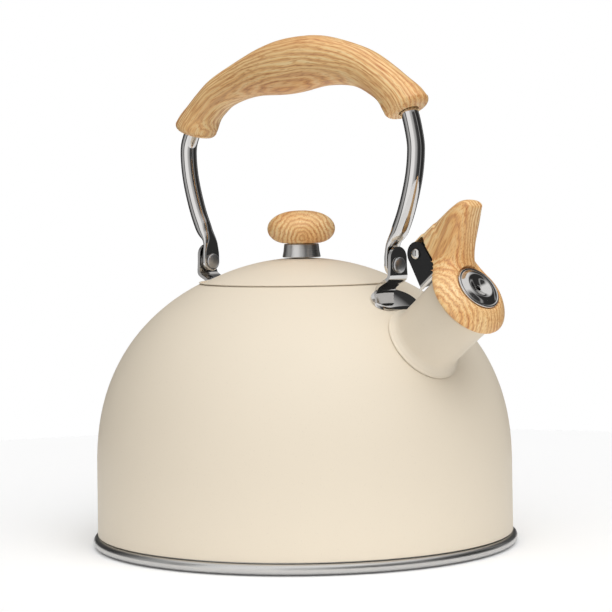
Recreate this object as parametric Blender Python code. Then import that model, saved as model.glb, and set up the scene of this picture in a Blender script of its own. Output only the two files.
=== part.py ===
"""Stovetop whistling kettle, modelled piece by piece in Blender.

The kettle stands on the table plane z = 0 with its axis on Z. The spout points along +X, and the
handle stands in the XZ plane. The sizes below are millimetres and angles are degrees. MM turns a
size into Blender's metres when a mesh is made.
"""

from math import cos, exp, hypot, pi, radians, sin, sqrt

import bmesh
import bpy
from mathutils import Vector

MM = 0.001
GAP = 0.3  # clearance between two touching pieces

# Body dome: straight near the foot, then a superellipse up to the lid's seam.
BODY_RADIUS = 107.5
BODY_FOOT_RADIUS = 107.7
BODY_FOOT_Z = 6.2
DOME_START_Z = 40.0
DOME_HEIGHT = 107.0
DOME_POWER = 2.32
BODY_WALL = 1.0
SEAM_RADIUS = 52.9
NECK_RADIUS = 49.0
NECK_BOTTOM_Z = 128.0
ROUND_STEPS = 36

# Base: a pan with a rolled rim, and a sandwich of a spreader disc in a cap.
RIM_RADIUS = 110.0
RIM_MIDDLE_Z = 3.1
PAN_FLOOR_Z = 4.4
SPREADER_RADIUS = 95.0
CAP_RADIUS = 97.0

# Lid and knob.
LID_RADIUS = 52.4
LID_APEX_Z = 147.8
LID_SPHERE_RADIUS = 109.5
LID_WALL = 0.9
COLLAR_FOOT_RADIUS = 9.85
COLLAR_TOP_RADIUS = 8.5
COLLAR_TOP_Z = 155.0
KNOB_RADIUS = 17.5
KNOB_MIDDLE_Z = 162.8
KNOB_TOP_Z = 172.2
KNOB_NECK_RADIUS = 7.9
SCREW_RADIUS = 2.2

# Spout: a tube on an axis that leaves the kettle's axis at SPOUT_ROOT_Z and rises by SPOUT_RISE.
SPOUT_RISE = 37.7
SPOUT_ROOT_Z = 40.3
SPOUT_LENGTH = 144.2
SPOUT_RADIUS = 17.6
MOUTH_RADIUS = 18.6
SPOUT_WALL = 0.9
FLANGE_RADIUS = 20.8
FLANGE_THICKNESS = 0.8
SPOUT_STEPS = 30

# Handle: pins on a line along X, a bent tube and a moulded grip round its arch.
HANDLE_MIDDLE_X = -2.6
PIN_Z = 145.0
TUBE_RADIUS = 4.4
ARM_TIP_HALF_WIDTH = 5.3
ARM_TIP_HALF_THICKNESS = 1.2
ARM_TIP_REACH = 68.0
TUBE_SIDES = 12
# One arm's centre line: distance out from the handle's middle, and height.
ARM_LINE = [(68.0, 149.0), (68.3, 154.5), (69.9, 157.8), (72.8, 161.5), (77.1, 170.0),
            (80.8, 180.0), (83.5, 190.0), (84.8, 200.0), (84.4, 207.5)]
# The arm is flat below the first height and round above the second, across and along X.
ARM_WIDTH_CHANGE = (147.0, 158.0)
ARM_DEPTH_CHANGE = (152.0, 164.0)
# The arch's centre line: x and height. The grip runs from its second point to its last but one.
ARCH_LINE = [(-84.2, 213.8), (-81.6, 217.6), (-77.4, 222.5), (-69.0, 230.2), (-56.0, 237.7),
             (-30.0, 244.7), (0.0, 247.4), (20.0, 247.7), (44.0, 243.3), (60.0, 235.7),
             (70.5, 228.2), (75.2, 223.5), (78.6, 219.4)]
LINE_STEP = 6.5
CHANNEL_RADIUS = 5.7
GRIP_HALF_DEPTH = 8.7
GRIP_SWELL = 5.7
GRIP_SWELL_X = -5.0
GRIP_SWELL_REAR = 32.0
GRIP_SWELL_FRONT = 41.0
GRIP_END_FLARE = 3.0
GRIP_END_TURN = 20.0  # the end faces lean, so that the outer side is the longer one
GRIP_LEAN = 1.0  # the moulding sits inward on the rear slope and outward on the front one
GRIP_HALF_WIDTH = 9.6
GRIP_WIDTH_SWELL = 3.4
GRIP_SIDES = 12

# Handle brackets and rivets: distances out from the handle's middle.
TAB_INNER = 70.4
TAB_THICKNESS = 1.8
TAB_HALF_WIDTH = 5.8
TAB_ROUND_Z = 148.4
CRANK_HALF_WIDTH = 6.5
NECK_REACH = 62.6
NECK_HALF_WIDTH = 6.5
FOOT_HALF_WIDTH = 15.0
RIVET_RADIUS = 2.0
RIVET_HEAD_RADIUS = 4.0

# Whistle lever, in the mouth's frame: u out along the spout's axis, v up and back, w along +Y.
PIVOT_U = -5.4
PIVOT_V = 32.7
EAR_RADIUS = 6.0
EAR_INNER_W = 7.6
EAR_THICKNESS = 1.2
EAR_FOOT_U = (-13.5, 0.4)
SADDLE_RADIUS = 18.9
CHEEK_INNER_W = 6.0
CHEEK_THICKNESS = 1.2
PLATE_BACK_U = 1.2
PLATE_FRONT_U = 10.2
PLATE_RADIUS = 21.2
TAIL_HALF_WIDTH = 8.5
TAIL_TIP_U = 34.4
HOOD_RADIUS = 7.6
HOOD_INNER_RADIUS = 5.7
HOOD_HALF_WIDTH = 7.2
SCREW_V = 26.0
WHISTLE_BORE = 9.4
WHISTLE_SEAT = 12.4


def clear_scene():
    for thing in list(bpy.data.objects):
        bpy.data.objects.remove(thing, do_unlink=True)


def make_material(name, colour, roughness, metallic):
    material = bpy.data.materials.new(name)
    material.use_nodes = True
    shader = material.node_tree.nodes["Principled BSDF"]
    shader.inputs["Base Color"].default_value = (*colour, 1.0)
    shader.inputs["Roughness"].default_value = roughness
    shader.inputs["Metallic"].default_value = metallic
    return material


def add_object(name, bm, material, smooth=True):
    """Turns a bmesh in metres into a named object with its own material."""
    bmesh.ops.recalc_face_normals(bm, faces=bm.faces)
    mesh = bpy.data.meshes.new(name)
    bm.to_mesh(mesh)
    bm.free()
    mesh.materials.append(material)
    if smooth:
        mesh.shade_smooth()
        mesh.set_sharp_from_angle(angle=radians(35))
    thing = bpy.data.objects.new(name, mesh)
    bpy.context.scene.collection.objects.link(thing)
    return thing


def turned(name, outline, material, steps=ROUND_STEPS):
    """Spins an outline of (radius, z) about Z. Both ends on the axis close it, or else a loop does."""
    bm = bmesh.new()
    verts = [bm.verts.new((radius * MM, 0.0, z * MM)) for radius, z in outline]
    edges = [bm.edges.new(pair) for pair in zip(verts, verts[1:])]
    if outline[0][0] > 0.0:
        edges.append(bm.edges.new((verts[-1], verts[0])))
    bmesh.ops.spin(bm, geom=verts + edges, cent=(0, 0, 0), axis=(0, 0, 1), dvec=(0, 0, 0),
                   angle=2 * pi, steps=steps, use_merge=True)
    bmesh.ops.remove_doubles(bm, verts=bm.verts, dist=1e-6)
    return add_object(name, bm, material)


def lofted(name, rings, material, looped=False):
    """Skins rings of points, with flat ends, or joined end to end when looped."""
    bm = bmesh.new()
    loops = [[bm.verts.new(point * MM) for point in ring] for ring in rings]
    pairs = list(zip(loops, loops[1:]))
    if looped:
        pairs.append((loops[-1], loops[0]))
    else:
        bm.faces.new(loops[0])
        bm.faces.new(loops[-1])
    count = len(loops[0])
    for low, high in pairs:
        for k in range(count):
            after = (k + 1) % count
            bm.faces.new((low[k], low[after], high[after], high[k]))
    return add_object(name, bm, material)


def extruded(name, outline, start, end, material):
    """Extrudes a closed outline of points by the step from start to end."""
    bm = bmesh.new()
    face = bm.faces.new([bm.verts.new((point + start) * MM) for point in outline])
    made = bmesh.ops.extrude_face_region(bm, geom=[face])
    verts = [item for item in made["geom"] if isinstance(item, bmesh.types.BMVert)]
    bmesh.ops.translate(bm, verts=verts, vec=(end - start) * MM)
    return add_object(name, bm, material)


def add_boolean(thing, other, operation):
    """Joins or cuts with another object, which is only a guide and isn't part of the kettle."""
    modifier = thing.modifiers.new(f"{operation.lower()}_{other.name}", "BOOLEAN")
    modifier.operation = operation
    modifier.solver = "EXACT"
    modifier.object = other
    other.hide_render = True
    other.display_type = "WIRE"


def make_empty(name, location, tilt=0.0):
    empty = bpy.data.objects.new(name, None)
    empty.empty_display_size = 10.0 * MM
    empty.location = location * MM
    empty.rotation_euler = (0.0, tilt, 0.0)
    bpy.context.scene.collection.objects.link(empty)
    return empty


def smooth_line(points, step):
    """A Catmull-Rom curve through 2-D points, read about every step of its length."""
    ends = [2 * points[0] - points[1]] + points + [2 * points[-1] - points[-2]]
    line = [points[0]]
    for a, b, c, d in zip(ends, ends[1:], ends[2:], ends[3:]):
        count = max(1, round((c - b).length / step))
        for k in range(1, count + 1):
            t = k / count
            line.append(0.5 * (2 * b + (c - a) * t + (2 * a - 5 * b + 4 * c - d) * t * t
                               + (3 * b - 3 * c + d - a) * t ** 3))
    return line


# ---------------------------------------------------------------- body and base


def dome_radius(z, inset=0.0):
    """The dome's outer radius at a height, or that of its surface moved in by inset."""
    rise = max(z - DOME_START_Z, 0.0) / (DOME_HEIGHT - inset)
    return (BODY_RADIUS - inset) * sqrt(1.0 - rise ** DOME_POWER)


def dome_height(radius, inset=0.0):
    share = 1.0 - (radius / (BODY_RADIUS - inset)) ** 2
    return DOME_START_Z + (DOME_HEIGHT - inset) * share ** (1.0 / DOME_POWER)


def dome_line(top_radius, inset, count):
    """Outline points from the foot to top_radius, closer together where the dome curves more."""
    top = dome_height(top_radius, inset)
    points = [(BODY_FOOT_RADIUS - inset, BODY_FOOT_Z)]
    for k in range(count):
        share = sin(0.5 * pi * k / (count - 1)) if k < count - 1 else 1.0
        z = DOME_START_Z + (top - DOME_START_Z) * share
        points.append((dome_radius(z, inset), z))
    return points


def build_body(enamel):
    outer = dome_line(SEAM_RADIUS, 0.0, 11)
    inner = dome_line(SEAM_RADIUS, BODY_WALL, 9)
    body = turned("body_shell", outer + inner[::-1], enamel)
    hole_radius = SPOUT_RADIUS - SPOUT_WALL - 0.4
    cutter = turned("spout_hole_cutter", [(0, 85), (hole_radius, 85), (hole_radius, 125), (0, 125)],
                    enamel, steps=SPOUT_STEPS)
    cutter.location = Vector((0, 0, SPOUT_ROOT_Z)) * MM
    cutter.rotation_euler = (0.0, radians(90 - SPOUT_RISE), 0.0)
    add_boolean(body, cutter, "DIFFERENCE")


def build_neck(steel):
    """The ring under the dome's edge that the lid sits on, with a short collar round its skirt."""
    hung = BODY_WALL + GAP
    radii = [57.0, 54.5, SEAM_RADIUS - 0.3]
    top = [(radius, dome_height(radius, hung) - 0.05) for radius in radii]
    ledge_z = top[-1][1]
    collar = [(NECK_RADIUS, ledge_z - 0.3), (NECK_RADIUS, NECK_BOTTOM_Z),
              (NECK_RADIUS + BODY_WALL, NECK_BOTTOM_Z), (NECK_RADIUS + BODY_WALL, ledge_z - 1.2)]
    under = [(radius, z - 1.0) for radius, z in top[::-1]]
    turned("lid_neck", top + collar + under, steel)


def arc(centre, radius, start, end, count):
    """Points on an arc in the outline's plane, from one angle in degrees to another."""
    angles = [radians(start + (end - start) * k / (count - 1)) for k in range(count)]
    return [(centre[0] + radius * cos(a), centre[1] + radius * sin(a)) for a in angles]


def build_base(steel, aluminium):
    bead_radius = 2.6
    bead = arc((RIM_RADIUS - bead_radius, RIM_MIDDLE_Z), bead_radius, -115, 80, 6)
    wall = BODY_FOOT_RADIUS - BODY_WALL - GAP - 0.1
    top = PAN_FLOOR_Z + BODY_WALL
    spigot = [(wall, top + 0.4), (wall, 10.0), (wall - 0.9, 10.0), (wall - 1.1, top + 0.8),
              (wall - 2.2, top)]
    turned("base_pan", [(0, PAN_FLOOR_Z), (104.4, PAN_FLOOR_Z)] + bead + spigot + [(0, top)], steel)
    spreader = [(0, 1.3), (SPREADER_RADIUS, 1.3), (SPREADER_RADIUS, PAN_FLOOR_Z - GAP),
                (0, PAN_FLOOR_Z - GAP)]
    turned("heat_spreader", spreader, aluminium)
    cap = [(0, 0), (CAP_RADIUS - 1.2, 0), (CAP_RADIUS, 1.2), (CAP_RADIUS, PAN_FLOOR_Z - GAP),
           (CAP_RADIUS - 1.0, PAN_FLOOR_Z - GAP), (CAP_RADIUS - 1.0, 1.7), (CAP_RADIUS - 1.7, 1.0),
           (0, 1.0)]
    turned("base_cap", cap, steel)


# ---------------------------------------------------------------- lid and knob


def lid_height(radius, inset=0.0):
    sphere = LID_SPHERE_RADIUS
    return LID_APEX_Z - inset - sphere + sqrt(sphere ** 2 - radius ** 2)


def build_lid(enamel, steel, wood):
    lift = make_empty("lid_lift", Vector((0, 0, 0)))
    hole = SCREW_RADIUS + 0.5
    radii = [hole + (LID_RADIUS - 0.5 - hole) * k / 5 for k in range(6)]
    rim_top = lid_height(LID_RADIUS)
    rim_low = dome_height(SEAM_RADIUS - 0.3, BODY_WALL + GAP) - 0.05 + GAP
    outside = [(radius, lid_height(radius)) for radius in radii]
    rim = [(LID_RADIUS, rim_top - 0.15), (LID_RADIUS, rim_low), (LID_RADIUS - 1.0, rim_low)]
    inside = [(radius, lid_height(radius, LID_WALL)) for radius in radii[::-1]]
    inside[0] = (LID_RADIUS - 1.3, lid_height(LID_RADIUS - 1.3, LID_WALL))
    pieces = [turned("lid_shell", outside + rim + inside, enamel)]

    outer = NECK_RADIUS - 0.6
    shelf = lid_height(outer - 5.0, LID_WALL) - GAP
    skirt = [(outer, 126.0), (outer, lid_height(outer, LID_WALL) - 0.9), (outer - 5.0, shelf),
             (outer - 5.4, shelf - 0.9), (outer - 0.9, lid_height(outer, LID_WALL) - 1.9),
             (outer - 0.9, 126.0)]
    pieces.append(turned("lid_skirt", skirt, steel))

    foot_z = lid_height(0) + GAP
    collar = [(hole, foot_z), (COLLAR_FOOT_RADIUS, foot_z), (COLLAR_FOOT_RADIUS, foot_z + 1.0),
              (COLLAR_TOP_RADIUS + 0.2, foot_z + 2.6), (COLLAR_TOP_RADIUS, COLLAR_TOP_Z),
              (hole, COLLAR_TOP_Z)]
    pieces.append(turned("knob_collar", collar, steel, steps=24))

    knob_foot = COLLAR_TOP_Z + GAP
    knob = [(0, 166.0), (hole, 166.0), (hole, knob_foot), (KNOB_NECK_RADIUS, knob_foot)]
    for k in range(1, 6):
        turn = 0.5 * pi * k / 5
        reach = KNOB_RADIUS - KNOB_NECK_RADIUS
        drop = KNOB_MIDDLE_Z - knob_foot
        knob.append((KNOB_NECK_RADIUS + reach * sin(turn), KNOB_MIDDLE_Z - drop * cos(turn)))
    for k in range(1, 8):
        turn = 0.5 * pi * k / 7
        radius = KNOB_RADIUS * cos(turn) ** 0.85 if k < 7 else 0.0
        knob.append((radius, KNOB_MIDDLE_Z + (KNOB_TOP_Z - KNOB_MIDDLE_Z) * sin(turn)))
    pieces.append(turned("lid_knob", knob, wood, steps=28))

    under = lid_height(hole, LID_WALL)
    washer = [(hole, under - 1.6), (7.0, under - 1.6), (7.0, under - 0.6), (hole, under - 0.6)]
    pieces.append(turned("knob_washer", washer, steel, steps=20))
    head = under - 1.6 - GAP
    screw = [(0, head - 2.3), (3.4, head - 2.3), (4.4, head - 1.3), (4.4, head),
             (SCREW_RADIUS, head), (SCREW_RADIUS, 165.4), (0, 165.4)]
    pieces.append(turned("knob_screw", screw, steel, steps=16))
    for piece in pieces:
        piece.parent = lift


# ---------------------------------------------------------------- spout


def spout_point(s, radius, angle):
    """A point at distance s along the spout's axis and out by radius, at an angle from v to w."""
    rise = radians(SPOUT_RISE)
    along = Vector((cos(rise), 0, sin(rise)))
    up = Vector((-sin(rise), 0, cos(rise)))
    out = up * cos(angle) + Vector((0, 1, 0)) * sin(angle)
    return Vector((0, 0, SPOUT_ROOT_Z)) + along * s + out * radius


def root_distance(radius, angle, lift):
    """How far along the spout's axis a line at radius and angle leaves the dome raised by lift."""
    low, high = 60.0, 135.0
    for _ in range(40):
        s = 0.5 * (low + high)
        point = spout_point(s, radius, angle)
        spread = hypot(point.x, point.y) / (BODY_RADIUS + lift)
        rise = max(point.z - DOME_START_Z, 0.0) / (DOME_HEIGHT + lift)
        if spread ** 2 + rise ** DOME_POWER < 1.0:
            low = s
        else:
            high = s
    return 0.5 * (low + high)


def build_spout(enamel):
    """Skins the outside from the root flange to the mouth and the inside back to the dome."""
    bore = SPOUT_RADIUS - SPOUT_WALL
    root = [(bore, GAP), (FLANGE_RADIUS, GAP), (FLANGE_RADIUS, GAP + 0.6),
            (FLANGE_RADIUS - 0.4, GAP + FLANGE_THICKNESS), (19.6, 1.6), (18.5, 2.7),
            (17.85, 4.4), (SPOUT_RADIUS, 6.8)]
    tube = [(SPOUT_RADIUS, SPOUT_LENGTH - 16.0), (SPOUT_RADIUS + 0.1, SPOUT_LENGTH - 8.0),
            (SPOUT_RADIUS + 0.45, SPOUT_LENGTH - 3.0), (MOUTH_RADIUS, SPOUT_LENGTH - 0.3),
            (MOUTH_RADIUS - 0.3, SPOUT_LENGTH), (MOUTH_RADIUS - SPOUT_WALL, SPOUT_LENGTH - 0.2),
            (bore + 0.45, SPOUT_LENGTH - 3.5), (bore, SPOUT_LENGTH - 9.0)]
    angles = [2 * pi * k / SPOUT_STEPS for k in range(SPOUT_STEPS)]
    rings = [[spout_point(root_distance(radius, angle, lift), radius, angle) for angle in angles]
             for radius, lift in root]
    rings += [[spout_point(s, radius, angle) for angle in angles] for radius, s in tube]
    lofted("spout", rings, enamel, looped=True)


# ---------------------------------------------------------------- handle


def handle_line():
    """The tube's centre line from above the rear pin, over the arch, to above the front pin."""
    rear = [Vector((HANDLE_MIDDLE_X - out, z)) for out, z in ARM_LINE]
    front = [Vector((HANDLE_MIDDLE_X + out, z)) for out, z in ARM_LINE[::-1]]
    arch = [Vector(point) for point in ARCH_LINE]
    return smooth_line(rear + arch + front, LINE_STEP)


def tube_section(centre, ahead, half_depth, half_width, sides, power=2.0):
    """A superellipse across the tube, in the plane square to ahead. Points are (x, y, z)."""
    side = Vector((-ahead.y, ahead.x))
    ring = []
    for k in range(sides):
        turn = 2 * pi * (k + 0.5) / sides
        across = abs(cos(turn)) ** (2 / power) * half_depth * (1 if cos(turn) > 0 else -1)
        wide = abs(sin(turn)) ** (2 / power) * half_width * (1 if sin(turn) > 0 else -1)
        flat = centre + side * across
        ring.append(Vector((flat.x, wide, flat.y)))
    return ring


def arm_tip_rings(side):
    """Rings of the flattened arm end, from its rounded tip up to the pin, on side -1 or 1."""
    rings = []
    x = HANDLE_MIDDLE_X + side * ARM_TIP_REACH
    for angle in (-82, -65, -45, -22, 0):
        z = PIN_Z + ARM_TIP_HALF_WIDTH * sin(radians(angle))
        half_width = ARM_TIP_HALF_WIDTH * cos(radians(angle))
        rings.append(tube_section(Vector((x, z)), Vector((0, -side)), ARM_TIP_HALF_THICKNESS,
                                  half_width, TUBE_SIDES, 6.0))
    return rings


def line_directions(line):
    ends = [line[0]] + line + [line[-1]]
    return [(after - before).normalized() for before, after in zip(ends, ends[2:])]


def smooth_share(value, span):
    """How far value is through a span of (low, high), eased at both ends."""
    share = min(max((value - span[0]) / (span[1] - span[0]), 0.0), 1.0)
    return share * share * (3 - 2 * share)


def build_tube(steel):
    """A round tube whose two ends are pressed flat round the rivets."""
    line = handle_line()
    rings = arm_tip_rings(-1)
    for centre, ahead in zip(line, line_directions(line)):
        share = smooth_share(centre.y, ARM_DEPTH_CHANGE)
        depth = ARM_TIP_HALF_THICKNESS + (TUBE_RADIUS - ARM_TIP_HALF_THICKNESS) * share
        narrow = smooth_share(centre.y, ARM_WIDTH_CHANGE)
        width = ARM_TIP_HALF_WIDTH + (TUBE_RADIUS - ARM_TIP_HALF_WIDTH) * narrow
        rings.append(tube_section(centre, ahead, depth, width, TUBE_SIDES, 6.0 - 4.0 * narrow))
    rings += arm_tip_rings(1)[::-1]
    rings = [[point - pivot_point() for point in ring] for ring in rings]
    tube = lofted("handle_tube", rings, steel)
    hole = RIVET_RADIUS + GAP
    for label, side in (("rear", -1), ("front", 1)):
        reach = ARM_TIP_REACH
        cutter = turned(f"{label}_arm_hole_cutter",
                        [(0, reach - 6), (hole, reach - 6), (hole, reach + 6), (0, reach + 6)],
                        steel, steps=20)
        cutter.rotation_euler = (0.0, side * pi / 2, 0.0)
        cutter.location = pivot_point() * MM
        add_boolean(tube, cutter, "DIFFERENCE")
    return tube


def pivot_point():
    return Vector((HANDLE_MIDDLE_X, 0.0, PIN_Z))


def grip_size(x, along, length):
    """Half depth and half width of the grip's section at x, and along from its rear end."""
    reach = GRIP_SWELL_REAR if x < GRIP_SWELL_X else GRIP_SWELL_FRONT
    swell = exp(-((x - GRIP_SWELL_X) / reach) ** 2)
    flare = exp(-(min(along, length - along) / 8.0) ** 2)
    depth = GRIP_HALF_DEPTH + GRIP_SWELL * swell + GRIP_END_FLARE * flare
    return depth, GRIP_HALF_WIDTH + GRIP_WIDTH_SWELL * swell + 0.3 * GRIP_END_FLARE * flare


def nearest_index(line, spot):
    return min(range(len(line)), key=lambda k: (line[k] - spot).length)


def leaned(centre, ahead):
    """The middle of the grip's section, moved off the tube's centre line on the slopes."""
    side = Vector((-ahead.y, ahead.x))
    return centre + side * GRIP_LEAN * (2 * smooth_share(centre.x, (-60.0, 60.0)) - 1)


def end_facing(ahead, along, length):
    """The direction square to the grip's section, which turns towards upright near the ends."""
    from_rear = exp(-(along / 9.0) ** 2)
    from_front = exp(-((length - along) / 9.0) ** 2)
    turn = radians(GRIP_END_TURN) * (from_rear - from_front)
    return Vector((ahead.x * cos(turn) - ahead.y * sin(turn),
                   ahead.x * sin(turn) + ahead.y * cos(turn)))


def build_grip(wood):
    """A moulding with rounded ends and a channel through it for the tube."""
    line = handle_line()
    ahead = line_directions(line)
    first = nearest_index(line, Vector(ARCH_LINE[1]))
    last = nearest_index(line, Vector(ARCH_LINE[-2]))
    steps = [0.0]
    for k in range(first, last):
        steps.append(steps[-1] + (line[k + 1] - line[k]).length)
    length = steps[-1]
    outer = []
    channel = []
    for k, along in zip(range(first, last + 1), steps):
        depth, width = grip_size(line[k].x, along, length)
        facing = end_facing(ahead[k], along, length)
        centre = leaned(line[k], ahead[k])
        outer.append(tube_section(centre, facing, depth, width, GRIP_SIDES, 2.15))
        channel.append(tube_section(line[k], facing, CHANNEL_RADIUS, CHANNEL_RADIUS, GRIP_SIDES))
    for end, back, k in ((0, -1, first), (-1, 1, last)):
        depth, width = grip_size(line[k].x, steps[end], length)
        facing = end_facing(ahead[k], steps[end], length)
        rounding = []
        for out, inset in ((1.6, 0.6), (2.9, 1.8), (3.5, 3.6)):
            centre = leaned(line[k], ahead[k]) + facing * out * back
            rounding.append(tube_section(centre, facing, depth - inset, width - inset,
                                         GRIP_SIDES, 2.15))
        centre = line[k] + ahead[k] * 3.5 * back
        mouth = tube_section(centre, facing, CHANNEL_RADIUS, CHANNEL_RADIUS, GRIP_SIDES)
        if end == 0:
            outer = rounding[::-1] + outer
            channel = [mouth] + channel
        else:
            outer = outer + rounding
            channel = channel + [mouth]
    rings = [[point - pivot_point() for point in ring] for ring in outer + channel[::-1]]
    return lofted("handle_grip", rings, wood, looped=True)


def bracket_rings(side):
    """Cross sections of a bent strip: the round tab, the crank, the neck and the foot."""
    middle = TAB_INNER + TAB_THICKNESS / 2
    half = TAB_THICKNESS / 2
    rings = []
    for angle in (80, 62, 40, 18, 0):
        z = TAB_ROUND_Z + TAB_HALF_WIDTH * sin(radians(angle))
        rings.append((Vector((middle, z)), Vector((1, 0)), TAB_HALF_WIDTH * cos(radians(angle))))
    rings.append((Vector((middle, 140.4)), Vector((1, 0)), CRANK_HALF_WIDTH - 0.3))
    rings.append((Vector((middle - 0.8, 138.2)), Vector((1, -0.8)).normalized(), CRANK_HALF_WIDTH))
    rings.append((Vector((NECK_REACH + 1.2, 134.5)), Vector((1, -0.9)).normalized(),
                  CRANK_HALF_WIDTH))
    rings.append((Vector((NECK_REACH, 132.4)), Vector((1, -0.3)).normalized(), NECK_HALF_WIDTH))
    points = []
    for centre, out, width in rings:
        outside = centre + out * half
        inside = centre - out * half
        ring = [(outside, w) for w in strip_places(width)]
        ring += [(inside, w) for w in strip_places(width)[::-1]]
        points.append([Vector((HANDLE_MIDDLE_X + side * p.x, w, p.y)) for p, w in ring])
    return points + foot_rings(side)


def strip_places(half_width):
    return [half_width * share for share in (-1.0, -0.5, 0.0, 0.5, 1.0)]


def foot_rings(side):
    """The foot lies on the dome: its sections run across Y, each point at the dome's height."""
    rings = []
    start = abs(HANDLE_MIDDLE_X + side * NECK_REACH) - 0.3
    widths = [(0.0, NECK_HALF_WIDTH), (1.3, 9.5), (2.8, 12.6), (5.0, 14.6), (7.0, FOOT_HALF_WIDTH),
              (9.0, 14.4), (11.0, 12.0), (12.2, 8.6)]
    for out, width in widths:
        x = start + out
        inner = x if out > 0.0 else x - 0.6
        top = []
        under = []
        for w in strip_places(width):
            low = dome_height(hypot(x, w)) + GAP
            top.append(Vector((side * (x + (0.9 if out == 0.0 else 0.0)), w, low + 1.4)))
            under.append(Vector((side * inner, w, low)))
        rings.append(top + under[::-1])
    return rings


def build_brackets(steel):
    hole = RIVET_RADIUS + GAP
    for label, side in (("front", 1), ("rear", -1)):
        bracket = lofted(f"{label}_bracket", bracket_rings(side), steel)
        cutter = turned(f"{label}_bracket_hole_cutter",
                        [(0, TAB_INNER - 3), (hole, TAB_INNER - 3), (hole, TAB_INNER + 6),
                         (0, TAB_INNER + 6)], steel, steps=20)
        place_on_pin(cutter, side)
        add_boolean(bracket, cutter, "DIFFERENCE")


def place_on_pin(thing, side):
    """Turns a piece made along +Z to lie on the handle's pins, outward on one side."""
    thing.rotation_euler = (0.0, side * pi / 2, 0.0)
    thing.location = pivot_point() * MM


def build_rivets(steel):
    """Each rivet is a shank with two domed heads, and a washer parts the arm from the tab."""
    arm_inner = ARM_TIP_REACH - ARM_TIP_HALF_THICKNESS - GAP
    tab_outer = TAB_INNER + TAB_THICKNESS + GAP
    head = RIVET_HEAD_RADIUS
    shank = RIVET_RADIUS
    rivet = [(0, arm_inner - 1.5), (2.4, arm_inner - 1.3), (head, arm_inner - 0.5),
             (head, arm_inner), (shank, arm_inner), (shank, tab_outer), (head, tab_outer),
             (head, tab_outer + 0.5), (2.4, tab_outer + 1.3), (0, tab_outer + 1.5)]
    low = ARM_TIP_REACH + ARM_TIP_HALF_THICKNESS + GAP
    high = TAB_INNER - GAP
    bore = RIVET_RADIUS + GAP
    washer = [(bore, low), (4.4, low), (4.4, high), (bore, high)]
    for label, side in (("front", 1), ("rear", -1)):
        place_on_pin(turned(f"{label}_rivet", rivet, steel, steps=16), side)
        place_on_pin(turned(f"{label}_washer", washer, steel, steps=16), side)


# ---------------------------------------------------------------- whistle lever


def mouth_frame(u, v, w):
    """A point of the mouth's frame in the lever's own axes, measured from its pivot."""
    return Vector((-(v - PIVOT_V), w, u - PIVOT_U))


def mouth_point(u, v):
    return spout_point(SPOUT_LENGTH + u, v, 0.0)


def on_pivot(thing, empty):
    thing.parent = empty
    return thing


def turned_on_mouth(name, outline, material, empty, steps):
    """A turned piece on the spout's axis: outline of (radius, u), hung from the lever's pivot."""
    piece = on_pivot(turned(name, outline, material, steps), empty)
    piece.location = mouth_frame(0, 0, 0) * MM
    return piece


def ear_outline(foot):
    """A plate with a round top about the pivot and a wider straight foot, as (u, v) points."""
    points = [(PIVOT_U + EAR_RADIUS * cos(radians(a)), PIVOT_V + EAR_RADIUS * sin(radians(a)))
              for a in range(180, -1, -20)]
    return points + [(EAR_FOOT_U[1], foot), (EAR_FOOT_U[0], foot)]


def plate(name, outline, low_w, high_w, material, empty):
    """A flat plate from an outline of (u, v) points, between two distances along w."""
    points = [mouth_frame(u, v, 0.0) for u, v in outline]
    return on_pivot(extruded(name, points, Vector((0, low_w, 0)), Vector((0, high_w, 0)),
                             material), empty)


def pin_hole(name, half_length, material, empty):
    hole = 1.5 + GAP
    cutter = turned(name, [(0, -half_length), (hole, -half_length), (hole, half_length),
                           (0, half_length)], material, steps=20)
    cutter.rotation_euler = (pi / 2, 0.0, 0.0)
    return on_pivot(cutter, empty)


def build_bracket(black, empty):
    """A saddle on the spout's top wall with an ear at each side."""
    outer_w = EAR_INNER_W + EAR_THICKNESS
    thickness = EAR_THICKNESS
    reach = 34.0
    angles = [-reach + 2 * reach * k / 8 for k in range(9)]
    arc_out = [((SADDLE_RADIUS + thickness) * cos(radians(a)),
                (SADDLE_RADIUS + thickness) * sin(radians(a))) for a in angles]
    arc_in = [(SADDLE_RADIUS * cos(radians(a)), SADDLE_RADIUS * sin(radians(a)))
              for a in angles[::-1]]
    outline = [mouth_frame(0.0, v, w) for v, w in arc_out + arc_in]
    saddle = on_pivot(extruded("whistle_bracket", outline, Vector((0, 0, -13.2)),
                               Vector((0, 0, -0.6)), black), empty)
    foot = sqrt((SADDLE_RADIUS + 0.3) ** 2 - outer_w ** 2)
    for label, side in (("near", -1), ("far", 1)):
        low, high = sorted((side * EAR_INNER_W, side * outer_w))
        ear = plate(f"{label}_ear_guide", ear_outline(foot), low, high, black, empty)
        add_boolean(saddle, ear, "UNION")
    add_boolean(saddle, pin_hole("ear_hole_cutter", 20, black, empty), "DIFFERENCE")


def build_pin(steel, empty):
    """The lever's pin, headed outside both ears."""
    end = EAR_INNER_W + EAR_THICKNESS + GAP
    outline = [(0, -end - 1.3), (1.8, -end - 1.2), (2.6, -end - 0.6), (2.6, -end), (1.5, -end),
               (1.5, end), (2.6, end), (2.6, end + 0.6), (1.8, end + 1.2), (0, end + 1.3)]
    pin = on_pivot(turned("lever_pin", outline, steel, steps=16), empty)
    pin.rotation_euler = (pi / 2, 0.0, 0.0)


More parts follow.
